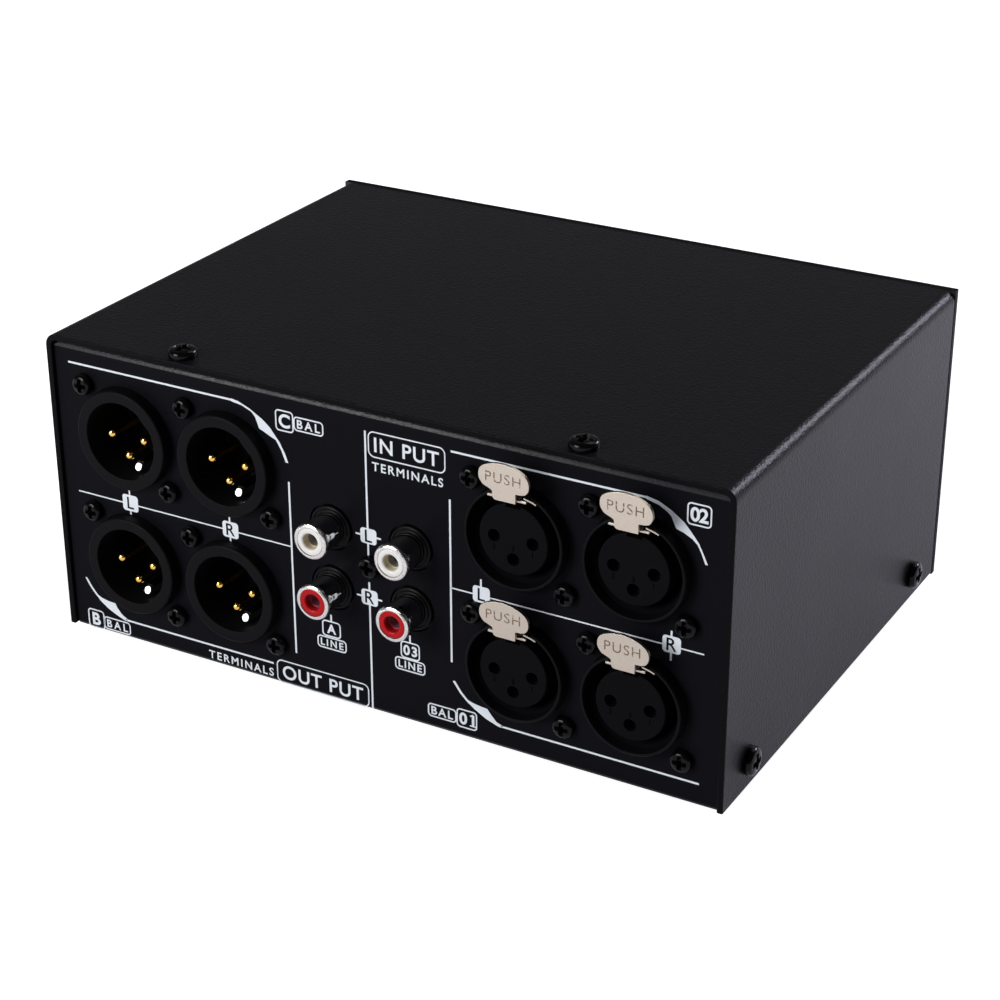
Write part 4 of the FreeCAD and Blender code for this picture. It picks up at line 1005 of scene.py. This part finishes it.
def outlined_box(left, right, low, high, line, rounding):
    """A rounded frame of ink."""
    outer = inked(rectangle(left, right, low, high, rounding))
    hole = rectangle(left + line, right - line, low + line, high - line, max(rounding - line, 0.2))
    return cut_out(outer, plate(hole, -1, 1))


def boxed_word(
    text, left, right, low, high, line=0.34, rounding=1.0, margin=0.72, aside=0.95, weight=0.02,
):
    """A frame of ink with a word in it."""
    word = raised_word(
        text, (left + right) / 2, (low + high) / 2, (high - low) - 2 * margin,
        (right - left) - 2 * aside, weight,
    )
    return together(outlined_box(left, right, low, high, line, rounding), word)


def rear_print():
    """Lines, tags and words on the rear panel; z is measured from the box's underside."""
    ink = []
    letters = []
    frames = (
        (84.3, 72.4, 37, 72.4), (21.9, 55, 21.9, 10), (73, 5.3, 28.7, 5.3), (0.7, 72.5, 0.7, 48.2),
        (0.7, 44.3, 0.7, 41), (0.7, 34.4, 0.7, 32.4), (0.7, 28.4, 0.7, 0.8), (-21.1, 60.6, -21.1, 19.4),
        (-21.5, 72.4, -69, 72.4), (-34, 6.1, -83.7, 6.1),
    )
    middles = (
        (84.4, 38.3, 71, 38.3), (66.4, 38.3, 41.5, 38.3), (37, 38.3, 22, 38.3),
        (-21.1, 38.6, -26.8, 38.6), (-31.2, 38.6, -73.8, 38.6), (-78.2, 38.6, -83.7, 38.6),
    )
    ticks = (
        (68.8, 42, 68.8, 40.7), (68.8, 36.4, 68.8, 35.5), (39.4, 41.8, 39.4, 40.6),
        (39.4, 36.4, 39.4, 35.3), (11.6, 23, 11.6, 21.3), (4, 46.3, 2.7, 46.3), (-1.6, 46.3, -2.8, 46.3),
        (4.2, 30.4, 2.9, 30.4), (-1.5, 30.4, -2.7, 30.4), (-28.9, 42.7, -28.9, 40.9),
        (-75.9, 42.3, -75.9, 41), (-75.9, 36.9, -75.9, 35), (-10, 23.3, -10, 21.5),
    )
    for lines, width in ((frames, 0.48), (middles, 0.33), (ticks, 0.45)):
        ink.extend(stroke(*line, width) for line in lines)
    for letter, *place in (
        ("L", 66.4, 71, 36.4, 40.7), ("R", 37, 41.5, 36.4, 40.6), ("L", -1.6, 2.7, 44.3, 48.2),
        ("R", -1.5, 2.9, 28.4, 32.4), ("L", -31.2, -26.8, 36.8, 40.9), ("R", -78.2, -73.8, 36.9, 41),
    ):
        left, right, low, high = place
        ink.append(inked(rectangle(*place, 0.8)))
        shape = raised_word(letter, (left + right) / 2, (low + high) / 2, 3.1, weight=0.01)
        letters.append(moved(shape, 0, 0.01, 0))
    for text, *place in (
        ("BAL", 71.7, 80, 1.1, 4.7), ("BAL", 11.8, 19.9, 68.4, 72), ("LINE", 7.5, 15.7, 13.6, 16.9),
        ("BAL", -22.2, -14.5, 3.4, 7), ("LINE", -14, -5.8, 13.6, 17),
    ):
        ink.append(boxed_word(text, *place))
    for text, *place in (
        ("B", 79.8, 84.9, 0.5, 5.8), ("C", 19.9, 24.9, 67.5, 72.8), ("A", 9, 14.2, 17, 21.3),
        ("02", -84.2, -78.5, 68.5, 73.7), ("01", -27.7, -22.2, 2.8, 7.8), ("03", -12.6, -7.4, 17, 21.5),
    ):
        ink.append(boxed_word(text, *place, margin=0.92, aside=0.75, weight=0.03))
    ink.append(inked(rectangle(-27.35, -25.75, 3.72, 4.06)))
    ink.append(stroke(-26.6, 6.86, -25.85, 6.4, 0.34))
    ink.append(boxed_word("OUT PUT", 1.6, 27.8, 0.6, 6.9, 0.3, 1.6, 1.3, 1.7, 0.014))
    ink.append(boxed_word("IN PUT", -20.1, 0, 66.4, 72.8, 0.3, 1.6, 1.4, 1.65, 0.014))
    ink.append(raised_word("TERMINALS", 38.3, 2.7, 2.2, 19, 0.014))
    ink.append(raised_word("TERMINALS", -10.2, 64.2, 2.2, 18.5, 0.014))
    ink.extend(inked(crescent) for crescent in CRESCENTS)
    set_out("rear_panel_print", printed(ink), [(0, 0, 0)], PRINT_WHITE)
    set_out("rear_panel_tag_letters", printed(letters), [(0, 0, 0)], PANEL_PAINT)


# Outlines of the four curled corners of the printed lines.
CRESCENTS = [
    [
        (37, 72.75), (35, 72.45), (32, 71.3), (28.5, 69.3), (26.5, 67.7), (25, 65.8), (24, 64.6),
        (22.6, 62), (21.8, 59.8), (22.5, 59.8), (23.6, 62.6), (25, 64.9), (26.5, 65.5), (28, 66.2),
        (29.5, 66.8), (30, 68.3), (30.5, 69.5), (31.5, 70.6), (34, 71.6), (37, 72.05),
    ],
    [
        (84.8, 14.3), (83.2, 11.7), (81.8, 10.1), (80.2, 8.5), (78, 7), (75.5, 5.9), (73, 4.95),
        (72.5, 5.65), (74, 6.5), (75.2, 7.8), (76, 9.2), (78, 9.3), (80, 9.7), (81.3, 10.3),
        (82.7, 12), (84.3, 14.4),
    ],
    [
        (-69, 72.75), (-72, 72.15), (-75, 70.7), (-78, 68.6), (-80, 66.4), (-81.5, 64.5),
        (-82.6, 62.4), (-83.7, 60), (-83.1, 60), (-82.1, 62.4), (-81.2, 64.1), (-80, 65.2),
        (-78, 66.2), (-76.1, 66.8), (-75, 69.3), (-74, 70.2), (-72, 71.3), (-69, 72.05),
    ],
    [
        (-21.3, 14.5), (-23.2, 11.9), (-24.8, 10.3), (-27, 8.7), (-30, 7), (-33, 5.95), (-34, 5.75),
        (-34.5, 6.3), (-32.8, 6.9), (-31.5, 8.3), (-30.4, 9.7), (-29, 9.8), (-27, 10.1),
        (-25.3, 10.6), (-23.8, 12.1), (-21.9, 14.7),
    ],
]


# Front


def dial_knob(radius, face, flutes):
    """A turned knob with a bright-cut chamfer, grip grooves and a pointer groove in its face."""
    form = turned([
        (0, face + 0.3), (radius - 2.2, face + 0.3, 0.8), (radius - 1.6, face, 0.2),
        (radius - 0.9, face, 0.2), (radius, face + 0.9, 0.2), (radius, -4.6, 0.15),
        (radius - 0.5, -4.3), (radius - 0.5, -3.8), (radius, -3.5, 0.15), (radius, -1, 0.3),
        (8.6, -1), (8.6, -7.5), (3.02, -7.5), (3.02, -15.02), (0, -15.02),
    ], steps=120)
    groove = plate(rectangle(-0.6, 0.6, radius - 8.5, radius - 1.5, 0.3), face - 1, face + 0.75)
    form = cut_out(form, groove)
    flute = to_mesh(turned([(0, face + 2.4), (0.7, face + 2.4), (0.7, -5.4), (0, -5.4)], 12))
    grip = bmesh.new()
    for step in range(flutes):
        angle = math.tau * (step + 0.5) / flutes
        start = len(grip.verts)
        grip.from_mesh(flute)
        grip.verts.ensure_lookup_table()
        bmesh.ops.translate(
            grip, verts=grip.verts[start:],
            vec=((radius + 0.35) * math.sin(angle), 0, (radius + 0.35) * math.cos(angle)),
        )
    bpy.data.meshes.remove(flute)
    form = cut_out(form, grip)
    screw_hole = turned([(0, 0), (1.55, 0), (1.55, radius + 2), (0, radius + 2)], 24)
    return cut_out(form, moved(moved(screw_hole, turn=UPWARDS), 0, -11.5, 0))


def dials():
    for name, (x, z) in DIALS.items():
        radius, face, flutes = (17.0, -18.0, 48) if name == "volume" else (11.0, -16.0, 30)
        set_out(
            f"{name}_knob_turned", dial_knob(radius, face, flutes), [(x, FRONT, z)],
            KNOB_ANODISED, [f"{name}_knob"], body=f"{name}_dial",
        )
        pointer = plate(
            rectangle(-0.55, 0.55, radius - 8.4, radius - 1.6, 0.3), face + 0.4, face + 1.05
        )
        set_out(
            f"{name}_knob_pointer", pointer, [(x, FRONT, z)], PRINT_WHITE,
            body=f"{name}_dial",
        )


def front_print():
    """Scales round the dials: plain ticks and numerals, and a word under each dial."""
    ink = []
    for name, (x, z) in DIALS.items():
        marks = {"input": "123", "output": "ABC"}.get(name) or [str(n) for n in range(11)]
        inner, outer, turn, below = (19.5, 22.0, 150, 27.5) if name == "volume" else (13.5, 15.5, 30, 20)
        scale = [raised_word(name.upper(), 0, -below, 2.8, weight=0.01)]
        for step, mark in enumerate(marks):
            angle = math.radians(-turn + 2 * turn * step / (len(marks) - 1))
            side, up = -math.sin(angle), math.cos(angle)
            scale.append(stroke(inner * side, inner * up, outer * side, outer * up, 0.6))
            beyond = outer + 2.6
            scale.append(raised_word(mark, beyond * side, beyond * up, 2.4, weight=0.01))
        ink.append(moved(together(*scale), -x, 0, z))
    form = moved(together(*ink), turn=TOWARDS_FRONT)
    set_out("front_panel_print", form, [(0, FRONT, 0)], PRINT_WHITE)


# Stage

# The cool white that the floor shows to the object, and the more neutral one of the sky.
COOL = (0.905, 0.885, 1.04)
SKY = (0.97, 0.93, 0.985)
WHITE = (1, 1, 1)


def studio_floor():
    """A white floor that keeps the shadow, and shows white to the camera and in reflections, with painted
    shade in its reflections close along the case's side.
    """
    form = bmesh.new()
    bmesh.ops.create_grid(form, x_segments=4, y_segments=4, size=14.0)
    mesh = bpy.data.meshes.new("floor")
    form.to_mesh(mesh)
    form.free()
    placed("floor", mesh)
    finish = Finish("floor_white", (0.65, 0.65, 0.65), 1.0, Specular_IOR_Level=0.0)
    tree, place = finish.tree, finish.place
    path = add_node(tree, "ShaderNodeLightPath").outputs
    seen = path["Is Camera Ray"]
    reach = add_node(tree, "ShaderNodeVectorMath", {0: place}, operation="LENGTH").outputs["Value"]
    open_floor = ramp(tree, reach, 0.2, 1.2, 0.8, 1.0)
    mirrored = compute(tree, "MAXIMUM", path["Is Glossy Ray"], path["Is Transmission Ray"])
    parts = axes(tree, place)
    # Painted shade in reflections: the glow that glossy rays see drops close along the case's side, as
    # contact shade, and is 0.62 behind the case.
    painted_shade_beside = ramp(tree, parts["X"], -0.085, -0.145, 0.34, 0.8)
    behind = ramp(tree, parts["Y"], 0.06, 0.09, painted_shade_beside, 0.62)
    soft = compute(tree, "MULTIPLY", mirrored, behind)
    finish.link(compute(tree, "MULTIPLY_ADD", seen, open_floor, soft), "Emission Strength")
    finish.link(blend(tree, seen, COOL, WHITE), "Emission Color")
    mesh.materials.append(finish.material)


def studio_world():
    """A room that is white round the horizon and dim above, so that the top stays dark."""
    world = bpy.data.worlds.new("room")
    bpy.context.scene.world = world
    world.use_nodes = True
    tree = world.node_tree
    background = tree.nodes["Background"].inputs
    direction = axes(tree, add_node(tree, "ShaderNodeTexCoord").outputs["Generated"])
    seen = add_node(tree, "ShaderNodeLightPath").outputs["Is Camera Ray"]
    sky = ramp(tree, direction["Y"], 0.1, -0.5, 0.06, 0.155)
    shade = ramp(tree, direction["Z"], 0.0, 0.09, 0.6, sky)
    tree.links.new(compute(tree, "MAXIMUM", seen, shade), background["Strength"])
    tree.links.new(blend(tree, seen, SKY, WHITE), background["Color"])


def softbox(name, place, width, height, power, colour=WHITE):
    """A rectangular lamp that faces the case's middle."""
    light = bpy.data.lights.new(name, "AREA")
    light.color = colour
    light.shape = "RECTANGLE"
    light.size = width
    light.size_y = height
    light.energy = power
    lamp = placed(name, light)
    lamp.location = place
    middle = Vector((0, 0, 0.04))
    lamp.rotation_euler = (middle - Vector(place)).to_track_quat("-Z", "Y").to_euler()


def camera():
    """Stands at the rear right, a little above the case."""
    data = bpy.data.cameras.new("camera")
    data.lens = 84.625
    data.sensor_width = 36.0
    data.clip_end = 60.0
    holder = placed("camera", data)
    place = Vector((-0.26041, 0.47278, 0.28961))
    target = Vector((-0.00937, 0.02767, 0.0435))
    roll = Quaternion((0, 0, 1), math.radians(-0.105))
    holder.location = place
    holder.rotation_euler = ((target - place).to_track_quat("-Z", "Y") @ roll).to_euler()
    bpy.context.scene.camera = holder


def studio():
    bpy.context.scene.view_settings.view_transform = "Standard"
    studio_floor()
    studio_world()
    softbox("camera_left", (0.43, 0.88, 0.43), width=0.48, height=0.46, power=9.6)
    softbox("overhead_front", (-0.2, -0.6, 1.1), width=0.8, height=0.45, power=2.0)
    softbox("front_right", (-0.86, -1.56, 0.92), width=0.82, height=0.66, power=30.0, colour=COOL)
    camera()


paint(PANEL_PAINT, "base_chassis")
# painted sheen on the chassis bends
paint_bends(PANEL_BEND_PAINTED_SHEEN, "base_chassis")
paint(FRONT_ANODISED, "front_panel")
# painted shade on the front panel's edges
paint_bends(EDGE_PAINTED_SHADE, "front_panel")
paint(SCREW_BLACK, "front_panel_screws", *[f"{name}_grub_screw" for name in DIALS])
# painted shade on the contacts in the holes
paint(GOLD_PAINTED_SHADE, "input_contacts")
paint(NICKEL, "phono_contacts")
paint(BOARD_GREEN, "connector_board")
paint(HEADER_BLACK, "ribbon_headers")
paint(RIBBON_GREY, *[f"{name}_ribbon_cable" for name in DIALS])
paint(ZINC, "volume_control_case", "input_switch_case", "output_switch_case", "dial_washers", "dial_nuts")
paint(TURNED_SHAFT, *[f"{name}_shaft" for name in DIALS])

folded_cover()
screws()
feet()
output_sockets()
input_sockets()
latch_springs()
phono_jacks()
rear_print()
dials()
front_print()
studio()
